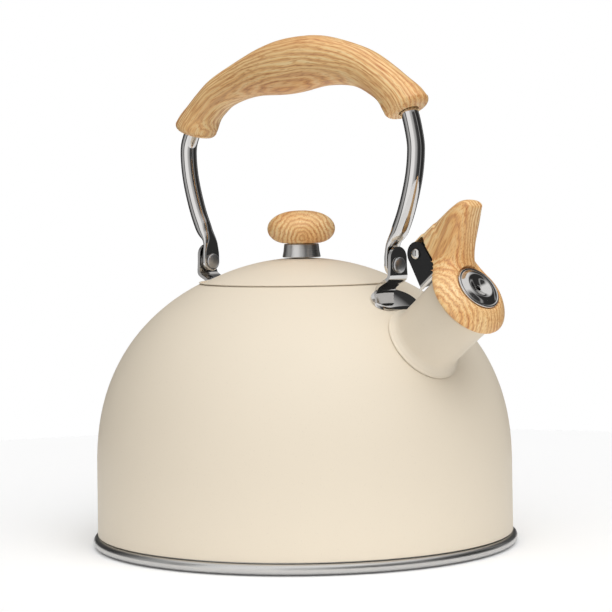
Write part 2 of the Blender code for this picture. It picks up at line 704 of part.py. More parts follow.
def build_spring(steel, empty):
    """A torsion spring round the pin: a coil with a short leg at each end."""
    turns, radius, half_length, per_turn = 4.0, 3.2, 3.4, 12
    points = [(radius, -half_length, -3.6)]
    for k in range(int(turns * per_turn) + 1):
        angle = 2 * pi * k / per_turn
        w = -half_length + 2 * half_length * k / (turns * per_turn)
        points.append((radius * cos(angle), w, radius * sin(angle)))
    points.append((radius, half_length, 4.5))
    curve = bpy.data.curves.new("lever_spring", "CURVE")
    curve.dimensions = "3D"
    curve.bevel_depth = 0.4 * MM
    curve.bevel_resolution = 1
    curve.use_fill_caps = True
    spline = curve.splines.new("POLY")
    spline.points.add(len(points) - 1)
    for spot, (x, y, z) in zip(spline.points, points):
        spot.co = (x * MM, y * MM, z * MM, 1.0)
    curve.materials.append(steel)
    spring = bpy.data.objects.new("lever_spring", curve)
    bpy.context.scene.collection.objects.link(spring)
    on_pivot(spring, empty)


def build_frame(black, steel, empty):
    """A channel that turns on the pin: two cheeks joined by a web behind the lever's plate."""
    web_u = (PLATE_BACK_U - GAP - 1.0, PLATE_BACK_U - GAP)
    foot, top = 21.0, PIVOT_V + 2.4
    outer_w = CHEEK_INNER_W + CHEEK_THICKNESS
    web_outline = [(web_u[0], foot), (web_u[1], foot), (web_u[1], top), (web_u[0], top)]
    web = plate("lever_frame", web_outline, -outer_w, outer_w, black, empty)
    front = web_u[1] - PIVOT_U - 0.01
    cheek = [(PIVOT_U + 5.0 * cos(radians(a)), PIVOT_V + 5.0 * sin(radians(a)))
             for a in range(70, 251, 20)]
    cheek += [(PIVOT_U + 2.5, foot + 0.01), (PIVOT_U + front, foot + 0.01),
              (PIVOT_U + front, top - 0.01)]
    for label, side in (("near", -1), ("far", 1)):
        low, high = sorted((side * CHEEK_INNER_W, side * (outer_w - 0.01)))
        guide = plate(f"{label}_cheek_guide", cheek, low, high, black, empty)
        add_boolean(web, guide, "UNION")
    add_boolean(web, pin_hole("cheek_hole_cutter", 15, black, empty), "DIFFERENCE")
    screw_hole = turned("frame_screw_cutter", [(0, -4), (1.3, -4), (1.3, 4), (0, 4)], black,
                        steps=16)
    screw_hole.location = mouth_frame(1.5, SCREW_V, 0.0) * MM
    add_boolean(web, on_pivot(screw_hole, empty), "DIFFERENCE")
    head = web_u[0] - GAP
    screw = [(0, head - 1.6), (1.9, head - 1.4), (2.2, head - 0.8), (2.2, head), (1.0, head),
             (1.0, 9.0), (0, 9.0)]
    piece = on_pivot(turned("lever_screw", screw, steel, steps=16), empty)
    piece.location = mouth_frame(0.0, SCREW_V, 0.0) * MM


def tail_top(u):
    """Height of the lever's upper side: an arc over the pivot, then a gentle fall to the tip."""
    if u < PIVOT_U:
        return PIVOT_V + sqrt(max(HOOD_RADIUS ** 2 - (u - PIVOT_U) ** 2, 0.0))
    share = (u - PIVOT_U) / (TAIL_TIP_U - PIVOT_U)
    fall = 0.4 * share + 2.3 * share ** 2 - 0.4 * smooth_share(share, (0.0, 0.3))
    tip = max(u - (TAIL_TIP_U - 7.0), 0.0) / 7.0
    return PIVOT_V + HOOD_RADIUS - fall - 5.2 * (1 - sqrt(max(1 - tip ** 2, 0.0)))


def tail_under(u):
    """Height of the tail's concave front side, beyond the plate's face."""
    share = (u - PLATE_FRONT_U) / (TAIL_TIP_U - PLATE_FRONT_U)
    return 6.0 + 25.0 * share ** 0.56


def rounded_half_width(v, low, high, width, power):
    middle, half = 0.5 * (low + high), 0.5 * (high - low)
    inside = 1.0 - abs((v - middle) / half) ** power
    return width * max(inside, 0.0) ** (1.0 / power)


def keyhole_half_width(v, radius, top):
    """Half width of the plate: a disc about the spout's axis that runs into the tail's width."""
    join = 0.5 * radius
    if v <= join:
        return sqrt(max(radius ** 2 - v ** 2, 0.0))
    shoulder = 26.0
    if v >= shoulder:
        return rounded_half_width(v, 10.0, top, TAIL_HALF_WIDTH, 3.2)
    span = shoulder - join
    t = (v - join) / span
    start = sqrt(radius ** 2 - join ** 2)
    slope = -join / start * span
    end = rounded_half_width(shoulder, 10.0, top, TAIL_HALF_WIDTH, 3.2)
    return ((2 * t ** 3 - 3 * t ** 2 + 1) * start + (t ** 3 - 2 * t ** 2 + t) * slope
            + (3 * t ** 2 - 2 * t ** 3) * end)


def lever_ring(u, low, high, width_at, count):
    """A closed section of the lever at u, from low to high in v, mirrored in w."""
    places = [low + (high - low) * 0.5 * (1 - cos(pi * k / count)) for k in range(count + 1)]
    right = [mouth_frame(u, v, max(width_at(v), 0.02)) for v in places]
    left = [mouth_frame(u, v, -max(width_at(v), 0.02)) for v in places[::-1]]
    return right + left


def lever_rings(count=12):
    """Sections along u: the hood over the pivot, the plate across the mouth, and the tail."""
    rings = []
    for angle in (168, 150, 132, 114, 96):
        u = PIVOT_U + HOOD_RADIUS * cos(radians(angle))
        inner = HOOD_INNER_RADIUS ** 2 - (u - PIVOT_U) ** 2
        low = PIVOT_V + sqrt(max(inner, 0.0))
        high = tail_top(u)
        rings.append(lever_ring(u, low, high, lambda v: HOOD_HALF_WIDTH, count))
    for u in (-2.5, PLATE_BACK_U - 0.05):
        low = PIVOT_V + HOOD_INNER_RADIUS
        rings.append(lever_ring(u, low, tail_top(u), lambda v: HOOD_HALF_WIDTH, count))
    for u, radius in ((PLATE_BACK_U, PLATE_RADIUS - 0.5), (PLATE_BACK_U + 0.8, PLATE_RADIUS),
                      (3.4, PLATE_RADIUS - 0.5), (5.1, PLATE_RADIUS - 1.7),
                      (6.8, PLATE_RADIUS - 3.3), (8.4, PLATE_RADIUS - 5.1),
                      (9.6, PLATE_RADIUS - 6.8), (PLATE_FRONT_U, PLATE_RADIUS - 8.0)):
        top = tail_top(u)
        rings.append(lever_ring(u, -radius, top,
                                lambda v, r=radius, t=top: keyhole_half_width(v, r, t), count))
    for share in (0.004, 0.06, 0.14, 0.24, 0.36, 0.5, 0.64, 0.77, 0.87, 0.94, 0.985):
        u = PLATE_FRONT_U + (TAIL_TIP_U - PLATE_FRONT_U) * share
        low, high = tail_under(u), tail_top(u)
        narrow = 1.0 - 0.45 * max(share - 0.4, 0.0) / 0.6 * max(share - 0.4, 0.0) / 0.6
        width = TAIL_HALF_WIDTH * narrow
        rings.append(lever_ring(u, low, high, lambda v, a=low, b=high, w=width:
                                rounded_half_width(v, a, b, w, 2.6), count))
    return rings


def build_lever(wood, empty):
    lever = on_pivot(lofted("whistle_lever", lever_rings(), wood), empty)
    bore = [(0, -4), (WHISTLE_BORE, -4), (WHISTLE_BORE, PLATE_FRONT_U - 0.6),
            (WHISTLE_SEAT, PLATE_FRONT_U - 0.6), (WHISTLE_SEAT, 24), (0, 24)]
    cutter = turned_on_mouth("whistle_bore_cutter", bore, wood, empty, 32)
    add_boolean(lever, cutter, "DIFFERENCE")
    hole = turned("lever_screw_cutter", [(0, -2), (1.3, -2), (1.3, 9.6), (0, 9.6)], wood, steps=16)
    hole.location = mouth_frame(0.0, SCREW_V, 0.0) * MM
    add_boolean(lever, on_pivot(hole, empty), "DIFFERENCE")


def build_whistle(steel, empty):
    """The polished cup in the lever's face, and the back plate that stops the mouth."""
    seat = PLATE_FRONT_U - 0.6 + GAP
    cup = [(9.0, 4.0), (9.0, seat), (11.8, seat), (11.8, seat + 0.9), (11.3, seat + 1.3),
           (10.4, seat + 1.1), (9.8, seat + 1.5), (8.4, seat + 2.3), (6.8, seat + 2.6),
           (5.3, seat + 2.2), (3.6, seat + 1.2), (2.2, seat + 0.7), (1.4, seat + 0.6),
           (1.4, seat - 0.2), (3.8, seat + 0.4), (6.6, seat + 1.7), (8.1, seat + 0.9), (8.1, 4.0)]
    turned_on_mouth("whistle_cup", cup, steel, empty, 24)
    plug = MOUTH_RADIUS - SPOUT_WALL - 1.1
    back = [(1.4, -1.6), (plug - 1.0, -1.6), (plug, -0.6), (plug, GAP), (18.9, GAP), (18.9, 0.9),
            (plug - 0.9, 0.9), (plug - 0.9, -0.3), (plug - 1.3, -0.8), (7.7, -0.8), (7.7, 8.4),
            (6.8, 8.4), (6.8, -0.8), (1.4, -0.8)]
    turned_on_mouth("whistle_plate", back, steel, empty, 24)


def build_whistle_lever(black, steel, bright, wood):
    """Everything that hangs on the lever's pivot line."""
    tilt = radians(90 - SPOUT_RISE)
    empty = make_empty("lever_pivot", mouth_point(PIVOT_U, PIVOT_V), tilt)
    build_bracket(black, empty)
    build_pin(bright, empty)
    build_spring(steel, empty)
    build_frame(black, steel, empty)
    build_lever(wood, empty)
    build_whistle(bright, empty)


def main():
    clear_scene()
    enamel = make_material("cream_coating", (0.80, 0.73, 0.62), 0.38, 0.0)
    satin = make_material("satin_steel", (0.62, 0.61, 0.60), 0.32, 1.0)
    bright = make_material("polished_steel", (0.72, 0.72, 0.72), 0.10, 1.0)
    plain = make_material("plain_steel", (0.55, 0.55, 0.56), 0.40, 1.0)
    aluminium = make_material("aluminium", (0.75, 0.75, 0.76), 0.45, 1.0)
    black = make_material("black_paint", (0.015, 0.015, 0.015), 0.35, 0.0)
    wood = make_material("wood_print", (0.75, 0.52, 0.28), 0.42, 0.0)
    build_body(enamel)
    build_neck(enamel)
    build_base(satin, aluminium)
    build_lid(enamel, satin, wood)
    build_spout(enamel)
    handle = make_empty("handle_pivot", pivot_point())
    build_tube(bright).parent = handle
    build_grip(wood).parent = handle
    build_brackets(bright)
    build_rivets(bright)
    build_whistle_lever(black, plain, bright, wood)


main()
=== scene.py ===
"""Looks for the stovetop whistling kettle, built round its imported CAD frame.

The kettle stands on z = 0 with its axis on Z, the spout points along +X, and the handle stands in
the XZ plane. Sizes are millimetres and angles are degrees. MM turns a size into Blender's metres.
"""

from math import cos, exp, hypot, pi, radians, sin, sqrt

import bmesh
import bpy
from mathutils import Matrix, Vector


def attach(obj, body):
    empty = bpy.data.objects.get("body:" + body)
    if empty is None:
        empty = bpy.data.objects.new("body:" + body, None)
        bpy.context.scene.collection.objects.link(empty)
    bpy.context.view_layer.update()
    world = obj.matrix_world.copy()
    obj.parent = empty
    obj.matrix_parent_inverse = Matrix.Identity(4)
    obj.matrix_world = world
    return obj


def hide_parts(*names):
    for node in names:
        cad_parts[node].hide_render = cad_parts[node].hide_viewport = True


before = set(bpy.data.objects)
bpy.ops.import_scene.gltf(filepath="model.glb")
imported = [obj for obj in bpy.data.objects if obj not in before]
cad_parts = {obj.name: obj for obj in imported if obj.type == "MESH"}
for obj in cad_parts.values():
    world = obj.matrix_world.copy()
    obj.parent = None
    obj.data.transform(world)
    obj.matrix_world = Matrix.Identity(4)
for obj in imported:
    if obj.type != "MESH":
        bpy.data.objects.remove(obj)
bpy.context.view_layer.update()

MM = 0.001
GAP = 0.3
ROUND_STEPS = 160
ON_AXIS = 1e-9  # a radius below this is a point on the axis

# Body, base, lid and knob.
BODY_RADIUS = 107.5
BODY_FOOT_RADIUS = 107.7
BODY_FOOT_Z = 6.2
DOME_START_Z = 40.0
DOME_HEIGHT = 107.0
DOME_POWER = 2.32
WALL = 1.0
SEAM_RADIUS = 52.9
NECK_RADIUS = 49.0
NECK_BOTTOM_Z = 128.0
RIM_RADIUS = 110.0
RIM_MIDDLE_Z = 3.1
BEAD_RADIUS = 2.6
PAN_FLOOR_Z = 4.4
CAP_RADIUS = 97.0
LID_RADIUS = 52.4
LID_APEX_Z = 147.8
LID_SPHERE_RADIUS = 109.5
LID_WALL = 0.9
LIP_LIFT = 0.4  # the lid's thin lip hangs this far above the dome's edge
SCREW_HOLE_RADIUS = 2.7
COLLAR_FOOT_RADIUS = 9.85
COLLAR_TOP_RADIUS = 8.9
COLLAR_TOP_Z = 155.0
KNOB_RADIUS = 17.5
KNOB_MIDDLE_Z = 162.8
KNOB_TOP_Z = 172.2
KNOB_NECK_RADIUS = 7.9

# Spout.
SPOUT_RISE = 37.7
SPOUT_ROOT_Z = 40.3
SPOUT_LENGTH = 144.2
SPOUT_RADIUS = 17.6
MOUTH_RADIUS = 18.6
SPOUT_WALL = 0.9
FLANGE_RADIUS = 20.8

# Handle: one arm's centre line as distance out and height, and the arch's as x and height.
HANDLE_MIDDLE_X = -2.6
PIN_Z = 145.0
TUBE_RADIUS = 4.4
ARM_TIP_HALF_WIDTH = 5.3
ARM_TIP_HALF_THICKNESS = 1.2
ARM_TIP_REACH = 68.0
ARM_LINE = [(68.0, 149.0), (68.3, 154.5), (69.9, 157.8), (72.8, 161.5), (77.1, 170.0),
            (80.8, 180.0), (83.5, 190.0), (84.8, 200.0), (84.4, 207.5)]
ARM_WIDTH_CHANGE = (147.0, 158.0)
ARM_DEPTH_CHANGE = (152.0, 164.0)
ARCH_LINE = [(-84.2, 213.8), (-81.6, 217.6), (-77.4, 222.5), (-69.0, 230.2), (-56.0, 237.7),
             (-30.0, 244.7), (0.0, 247.4), (20.0, 247.7), (44.0, 243.3), (60.0, 235.7),
             (70.5, 228.2), (75.2, 223.5), (78.6, 219.4)]
CHANNEL_RADIUS = 5.2
GRIP_HALF_DEPTH = 8.7
GRIP_SWELL = 5.7
GRIP_SWELL_X = -5.0
GRIP_SWELL_REAR = 32.0
GRIP_SWELL_FRONT = 41.0
GRIP_END_FLARE = 3.0
GRIP_END_TURN = 20.0
GRIP_LEAN = 1.0
GRIP_HALF_WIDTH = 9.6
GRIP_WIDTH_SWELL = 3.4
TAB_INNER = 70.4
TAB_THICKNESS = 1.8
TAB_HALF_WIDTH = 5.8
TAB_ROUND_Z = 148.4
CRANK_HALF_WIDTH = 6.5
NECK_REACH = 62.6
NECK_HALF_WIDTH = 6.5
FOOT_HALF_WIDTH = 15.0
# The bracket's crank, from its tab to its neck: how far inward its middle is from the tab's, its
# height, how far its outer face leans down, and its half width.
BRACKET_BEND = [
    (0.0, 144.0, 0.0, 5.9), (0.0, 140.4, 0.0, 6.2), (0.2, 139.2, 0.4, 6.4),
    (0.8, 138.2, 0.8, CRANK_HALF_WIDTH), (2.4, 137.1, 0.95, CRANK_HALF_WIDTH),
    (4.7, 136.1, 0.95, CRANK_HALF_WIDTH), (7.5, 134.5, 0.9, CRANK_HALF_WIDTH),
    (8.3, 133.6, 0.6, NECK_HALF_WIDTH), (8.7, 132.4, 0.3, NECK_HALF_WIDTH)]
# The welded foot's outline: how far out it is from the neck, and its half width.
FOOT_LINE = [
    (0.0, NECK_HALF_WIDTH), (0.6, 7.6), (1.3, 9.3), (2.0, 11.0), (2.8, 12.6), (3.9, 13.8),
    (5.0, 14.5), (6.0, 14.9), (7.0, FOOT_HALF_WIDTH), (8.0, 14.9), (9.0, 14.4), (10.0, 13.5),
    (11.0, 12.0), (11.7, 10.4), (12.2, 8.6)]
RIVET_RADIUS = 2.0
RIVET_HEAD_RADIUS = 4.0

# Whistle lever, in the mouth's frame: u out along the spout's axis, v up and back, w along +Y.
PIVOT_U = -5.4
PIVOT_V = 32.7
EAR_RADIUS = 6.0
EAR_INNER_W = 7.6
EAR_THICKNESS = 1.2
EAR_FOOT_U = (-13.5, 0.4)
EAR_BARE_TOP_V = 19.0  # below this height the ears' outer sides are bare steel
SADDLE_RADIUS = 18.9
PLATE_BACK_U = 1.2
PLATE_FRONT_U = 10.2
PLATE_RADIUS = 21.2
TAIL_HALF_WIDTH = 8.5
TAIL_TIP_U = 34.4
HOOD_RADIUS = 7.6
HOOD_INNER_RADIUS = 5.7
HOOD_HALF_WIDTH = 7.2
SCREW_V = 26.0
WHISTLE_BORE = 9.4
WHISTLE_SEAT = 12.4

# Camera: it looks at the kettle from the spout's side, a little above it.
CAMERA_DISTANCE = 1207.0
CAMERA_HEIGHT = 187.4
CAMERA_AZIMUTH = 46.2
CAMERA_PITCH = 3.07
CAMERA_ROLL = -0.84
CAMERA_PAN = 0.09
CAMERA_LENS = 137.18

# Floor and light.
FLOOR_RADIUS_M = 0.55
FLOOR_Z_M = -0.0002
GLOW_POWER = 5.0
GLOW_STRENGTH = 2.75
OVERHEAD_POWER = 3.0
OVERHEAD_STRENGTH = 0.90
AMBIENT_STRENGTH = 0.02
REFLECTION_STRENGTH = 1.15
# The studio that steel reflects: the share of a turn round the kettle, which starts behind it and
# goes by its left, and the brightness there.
STUDIO_PANELS = [
    (0.00, 0.04), (0.16, 0.03), (0.20, 0.25), (0.27, 0.55), (0.30, 0.08), (0.315, 0.08),
    (0.33, 1.0), (0.44, 1.0), (0.475, 0.55), (0.53, 0.40), (0.56, 0.06), (0.66, 0.035),
    (0.68, 0.40), (0.70, 0.035), (0.84, 0.03), (0.87, 0.35), (0.89, 0.04), (1.00, 0.04)]


# ---------------------------------------------------------------- mesh helpers


def finish_mesh(name, bm, material, body, nodes, sharp=40.0):
    """Makes the object of a bmesh in millimetres, in the row frame, and lets it ride on a body."""
    bmesh.ops.scale(bm, vec=(MM, MM, MM), verts=bm.verts)
    bmesh.ops.recalc_face_normals(bm, faces=bm.faces)
    mesh = bpy.data.meshes.new(name)
    bm.to_mesh(mesh)
    bm.free()
    mesh.materials.append(material)
    mesh.shade_smooth()
    mesh.set_sharp_from_angle(angle=radians(sharp))
    piece = bpy.data.objects.new(name, mesh)
    bpy.context.scene.collection.objects.link(piece)
    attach(piece, body)
    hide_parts(*nodes)
    return piece


def spun(outline, steps=ROUND_STEPS, place=None):
    """A bmesh of an outline of (radius, z) spun about Z, and then placed by a matrix."""
    bm = bmesh.new()
    looped = outline[0][0] > ON_AXIS
    rings = []
    for radius, z in outline:
        if radius < ON_AXIS:
            rings.append([bm.verts.new((0.0, 0.0, z))])
            continue
        rings.append([bm.verts.new((radius * cos(2 * pi * k / steps),
                                    radius * sin(2 * pi * k / steps), z)) for k in range(steps)])
    pairs = list(zip(rings, rings[1:]))
    if looped:
        pairs.append((rings[-1], rings[0]))
    for low, high in pairs:
        for k in range(steps):
            after = (k + 1) % steps
            corners = [low[k % len(low)], low[after % len(low)], high[after % len(high)],
                       high[k % len(high)]]
            kept = [v for i, v in enumerate(corners) if v is not corners[i - 1]]
            bm.faces.new(kept)
    if place is not None:
        bmesh.ops.transform(bm, matrix=place, verts=bm.verts)
    return bm


def skinned(rings, looped=False):
    """A bmesh that skins rings of points, with flat ends, or joined end to end when looped."""
    bm = bmesh.new()
    loops = [[bm.verts.new(point) for point in ring] for ring in rings]
    pairs = list(zip(loops, loops[1:]))
    if looped:
        pairs.append((loops[-1], loops[0]))
    else:
        bm.faces.new(loops[0])
        bm.faces.new(loops[-1])
    count = len(loops[0])
    for low, high in pairs:
        for k in range(count):
            after = (k + 1) % count
            bm.faces.new((low[k], low[after], high[after], high[k]))
    return bm


def extruded(outline, start, end):
    """A bmesh of a closed outline of points, extruded from the offset start to the offset end."""
    bm = bmesh.new()
    face = bm.faces.new([bm.verts.new(point + start) for point in outline])
    made = bmesh.ops.extrude_face_region(bm, geom=[face])
    verts = [item for item in made["geom"] if isinstance(item, bmesh.types.BMVert)]
    bmesh.ops.translate(bm, verts=verts, vec=end - start)
    return bm


def rounded(points, radius, looped=False, count=4):
    """The outline with its corners rounded. Corners of under 12 degrees stay as they are."""
    out = []
    for k, point in enumerate(points):
        here = Vector(point)
        before = Vector(points[k - 1]) - here
        after = Vector(points[(k + 1) % len(points)]) - here
        end = not looped and k in (0, len(points) - 1)
        if end or min(before.length, after.length) < 1e-6 or before.angle(-after) < radians(12):
            out.append(tuple(point))
            continue
        back = min(radius, 0.45 * before.length, 0.45 * after.length)
        first = here + before.normalized() * back
        last = here + after.normalized() * back
        for i in range(count + 1):
            t = i / count
            out.append(tuple(first * (1 - t) ** 2 + here * 2 * t * (1 - t) + last * t ** 2))
    return out


def arc(centre, radius, start, end, count):
    angles = [radians(start + (end - start) * k / (count - 1)) for k in range(count)]
    return [(centre[0] + radius * cos(a), centre[1] + radius * sin(a)) for a in angles]


def smooth_line(points, step):
    """A Catmull-Rom curve through points, read about every step of its length."""
    ends = [2 * points[0] - points[1]] + points + [2 * points[-1] - points[-2]]
    line = [points[0]]
    for a, b, c, d in zip(ends, ends[1:], ends[2:], ends[3:]):
        count = max(1, round((c - b).length / step))
        for k in range(1, count + 1):
            t = k / count
            line.append(0.5 * (2 * b + (c - a) * t + (2 * a - 5 * b + 4 * c - d) * t * t
                               + (3 * b - 3 * c + d - a) * t ** 3))
    return line


def smooth_share(value, span):
    """0 before the span, 1 after it, and an even rise between."""
    share = min(max((value - span[0]) / (span[1] - span[0]), 0.0), 1.0)
    return share * share * (3 - 2 * share)


def apply_modifiers(piece):
    """Turns what the piece's modifiers make into its mesh."""
    bpy.context.view_layer.update()
    evaluated = piece.evaluated_get(bpy.context.evaluated_depsgraph_get())
    mesh = bpy.data.meshes.new_from_object(evaluated)
    piece.modifiers.clear()
    piece.data = mesh


def cut(piece, tools, operation="DIFFERENCE"):
    """Cuts or joins bmeshes in millimetres with the piece, and leaves only the result."""
    helpers = []
    for bm in tools:
        bmesh.ops.scale(bm, vec=(MM, MM, MM), verts=bm.verts)
        bmesh.ops.recalc_face_normals(bm, faces=bm.faces)
        mesh = bpy.data.meshes.new("tool")
        bm.to_mesh(mesh)
        bm.free()
        mesh.shade_smooth()
        helper = bpy.data.objects.new("tool", mesh)
        bpy.context.scene.collection.objects.link(helper)
        helpers.append(helper)
        modifier = piece.modifiers.new("tool", "BOOLEAN")
        modifier.operation = operation
        modifier.solver = "EXACT"
        modifier.object = helper
    apply_modifiers(piece)
    for helper in helpers:
        bpy.data.objects.remove(helper)


def bevel(piece, width, segments=3, angle=35.0):
    modifier = piece.modifiers.new("edges", "BEVEL")
    modifier.width = width * MM
    modifier.segments = segments
    modifier.limit_method = "ANGLE"
    modifier.angle_limit = radians(angle)
    modifier.harden_normals = True


# ---------------------------------------------------------------- material helpers


def linear(red, green, blue):
    """A display colour of 0 to 255 as the linear colour that shaders take."""
    return tuple(((c / 255 + 0.055) / 1.055) ** 2.4 if c > 10 else c / 255 / 12.92
                 for c in (red, green, blue)) + (1.0,)


class Shading:
    """A node tree, with short calls for the nodes that the materials and the world share."""

    def __init__(self, tree):
        self.tree = tree

    def add(self, kind, inputs, **settings):
        node = self.tree.nodes.new(kind)
        for key, value in settings.items():
            setattr(node, key, value)
        for key, value in inputs.items():
            if isinstance(value, bpy.types.NodeSocket):
                self.tree.links.new(value, node.inputs[key])
            else:
                node.inputs[key].default_value = value
        return node

    def math(self, operation, *values):
        inputs = dict(enumerate(values))
        return self.add("ShaderNodeMath", inputs, operation=operation).outputs[0]

    def place(self, rotation=(0, 0, 0), location=(0, 0, 0), attribute=None):
        """The piece's own coordinates in metres, or an attribute of it, turned and then moved."""
        if attribute:
            source = self.add("ShaderNodeAttribute", {}, attribute_name=attribute)
            vector = source.outputs["Vector"]
        else:
            vector = self.add("ShaderNodeTexCoord", {}).outputs["Object"]
        turned = tuple(radians(a) for a in rotation)
        inputs = {"Vector": vector, "Rotation": turned, "Location": location}
        return self.add("ShaderNodeMapping", inputs).outputs[0]

    def squeezed(self, vector, scale):
        """Coordinates that are scaled along each axis, so that noise in them is drawn out."""
        return self.add("ShaderNodeMapping", {"Vector": vector, "Scale": scale}).outputs[0]

    def noise(self, vector, scale, detail, rough=0.55):
        inputs = {"Vector": vector, "Scale": scale, "Detail": detail, "Roughness": rough}
        return self.add("ShaderNodeTexNoise", inputs).outputs[0]

    def ramp(self, factor, stops):
        """A colour for each value of factor, from stops of (value, colour)."""
        node = self.add("ShaderNodeValToRGB", {"Fac": factor})
        elements = node.color_ramp.elements
        elements[0].position, elements[0].color = stops[0]
        elements[1].position, elements[1].color = stops[-1]
        for position, colour in stops[1:-1]:
            elements.new(position).color = colour
        return node.outputs[0]

    def mix(self, factor, first, second, blend="MIX"):
        node = self.add("ShaderNodeMix", {0: factor, 6: first, 7: second}, data_type="RGBA",
                        blend_type=blend)
        return node.outputs[2]

    def span(self, value, low, high):
        """Value from 0 to 1 mapped to low to high."""
        return self.add("ShaderNodeMapRange", {"Value": value, "To Min": low,
                                               "To Max": high}).outputs[0]

    def distance(self, first, second):
        """The length of a flat vector that has the two parts."""
        squares = self.math("ADD", self.math("MULTIPLY", first, first),
                            self.math("MULTIPLY", second, second))
        return self.math("SQRT", squares)


class Material(Shading):
    """One material: its shader's constant values, and the links that feed the shader."""

    def __init__(self, name, **values):
        self.material = bpy.data.materials.new(name)
        self.material.use_nodes = True
        super().__init__(self.material.node_tree)
        self.shader = self.tree.nodes["Principled BSDF"]
        for key, value in values.items():
            self.shader.inputs[key.replace("_", " ")].default_value = value

    def link(self, socket, name):
        self.tree.links.new(socket, self.shader.inputs[name])

    def bump(self, height, strength, distance):
        node = self.add("ShaderNodeBump", {"Height": height, "Strength": strength,
                                           "Distance": distance * MM})
        self.link(node.outputs[0], "Normal")


def grey(value):
    return (value, value, value, 1.0)


def cream_material():
    """A satin coating: nearly even, with a fine orange peel and slow changes of tone."""
    made = Material("cream_coating", Roughness=0.5, Specular_IOR_Level=0.35)
    place = made.place()
    slow = made.noise(place, 14.0, 2.0)
    colour = made.mix(slow, linear(229, 217, 197), linear(233, 221, 201))
    specks = made.ramp(made.noise(place, 1400.0, 2.0), [(0.25, grey(0.93)), (0.36, grey(1.0))])
    made.link(made.mix(1.0, colour, specks, "MULTIPLY"), "Base Color")
    made.link(made.span(made.noise(place, 60.0, 3.0), 0.44, 0.56), "Roughness")
    made.bump(made.noise(place, 900.0, 2.0), 0.12, 0.03)
    return made.material


def wood_material(name, place_of, period, wander, lean=0.75, rings=False):
    """An oak grain print under satin lacquer, in lines about period mm apart that wander.

    place_of gives coordinates with the grain along X. The lines part along Y, and by lean also
    along Z. With rings, they circle X instead.
    """
    made = Material(name, Roughness=0.42, Specular_IOR_Level=0.4)
    place = place_of(made)
    long_grain = made.squeezed(place, (0.13, 1.0, 1.0))
    warp = made.noise(long_grain, 62.0, 3.0, 0.45)
    small = made.noise(long_grain, 330.0, 3.0, 0.6)
    split = made.add("ShaderNodeSeparateXYZ", {"Vector": place}).outputs
    if rings:
        across = made.distance(split[1], split[2])
    else:
        across = made.math("MULTIPLY_ADD", split[2], lean, split[1])
    field = made.math("MULTIPLY_ADD", warp, wander, made.math("DIVIDE", across, period * MM))
    field = made.math("MULTIPLY_ADD", small, 1.25, field)
    bands = made.math("PINGPONG", field, 0.5)
    lines = made.ramp(bands, [(0.02, linear(190, 118, 66)), (0.12, linear(222, 170, 116)),
                              (0.26, linear(248, 222, 186)), (0.50, grey(1.0))])
    strength = made.span(made.noise(long_grain, 120.0, 2.0, 0.5), 0.10, 1.05)
    base = made.ramp(warp, [(0.30, linear(235, 184, 122)), (0.45, linear(246, 207, 149)),
                            (0.58, linear(252, 222, 168)), (0.74, linear(255, 233, 188))])
    colour = made.mix(strength, base, made.mix(1.0, base, lines, "MULTIPLY"))
    fibres = made.noise(made.squeezed(place, (0.06, 1.0, 1.0)), 1900.0, 2.0, 0.5)
    fine = made.ramp(fibres, [(0.34, linear(205, 152, 104)), (0.48, grey(1.0))])
    made.link(made.mix(0.6, colour, fine, "MULTIPLY"), "Base Color")
    made.link(made.span(small, 0.50, 0.36), "Roughness")
    made.bump(fibres, 0.10, 0.04)
    return made.material


def steel_material(name, roughness, colour, grain_scale, grain_strength, turned):
    """Stainless steel. Turned pieces show fine lines round Z, others faint rubbing marks."""
    made = Material(name, Metallic=1.0, Roughness=roughness)
    coords = made.add("ShaderNodeTexCoord", {}).outputs["Object"]
    if turned:
        split = made.add("ShaderNodeSeparateXYZ", {"Vector": coords}).outputs
        radius = made.distance(split[0], split[1])
        place = made.add("ShaderNodeCombineXYZ", {"X": radius, "Z": split[2]}).outputs[0]
    else:
        place = made.squeezed(coords, (1.0, 1.0, 0.12))
    grain = made.noise(place, grain_scale, 3.0, 0.6)
    cloud = made.noise(coords, 40.0, 3.0)
    made.link(made.mix(cloud, colour, tuple(c * 0.9 for c in colour[:3]) + (1.0,)), "Base Color")
    spread = made.math("MULTIPLY_ADD", grain, 0.5 * roughness, 0.62 * roughness)
    made.link(made.math("MULTIPLY_ADD", cloud, 0.25 * roughness, spread), "Roughness")
    made.bump(grain, grain_strength, 0.02)
    return made.material


def black_material():
    """Gloss black paint, worn through to bare steel along the cut foot of each ear."""
    made = Material("black_paint", Roughness=0.2, Specular_IOR_Level=0.3)
    coords = made.add("ShaderNodeTexCoord", {}).outputs["Object"]
    sheen = made.noise(coords, 120.0, 3.0)
    foot = spout_point(SPOUT_LENGTH, 0.0, 0.0) * MM
    rise = radians(SPOUT_RISE)
    height = made.add("ShaderNodeVectorMath", {0: coords, 1: (-sin(rise), 0.0, cos(rise))},
                      operation="DOT_PRODUCT").outputs["Value"]
    level = made.math("SUBTRACT", height, -foot.x * sin(rise) + foot.z * cos(rise))
    side = made.add("ShaderNodeSeparateXYZ", {"Vector": coords}).outputs[1]
    outside = made.math("GREATER_THAN", made.math("ABSOLUTE", side), (EAR_INNER_W + 0.1) * MM)
    low = made.math("LESS_THAN", level, EAR_BARE_TOP_V * MM)
    bare = made.math("MULTIPLY", outside, low)
    made.link(made.mix(bare, (0.012, 0.012, 0.013, 1.0), (0.62, 0.60, 0.57, 1.0)), "Base Color")
    made.link(bare, "Metallic")
    made.link(made.span(sheen, 0.14, 0.34), "Roughness")
    made.bump(made.noise(coords, 700.0, 2.0), 0.10, 0.02)
    return made.material


# ---------------------------------------------------------------- body, base and lid


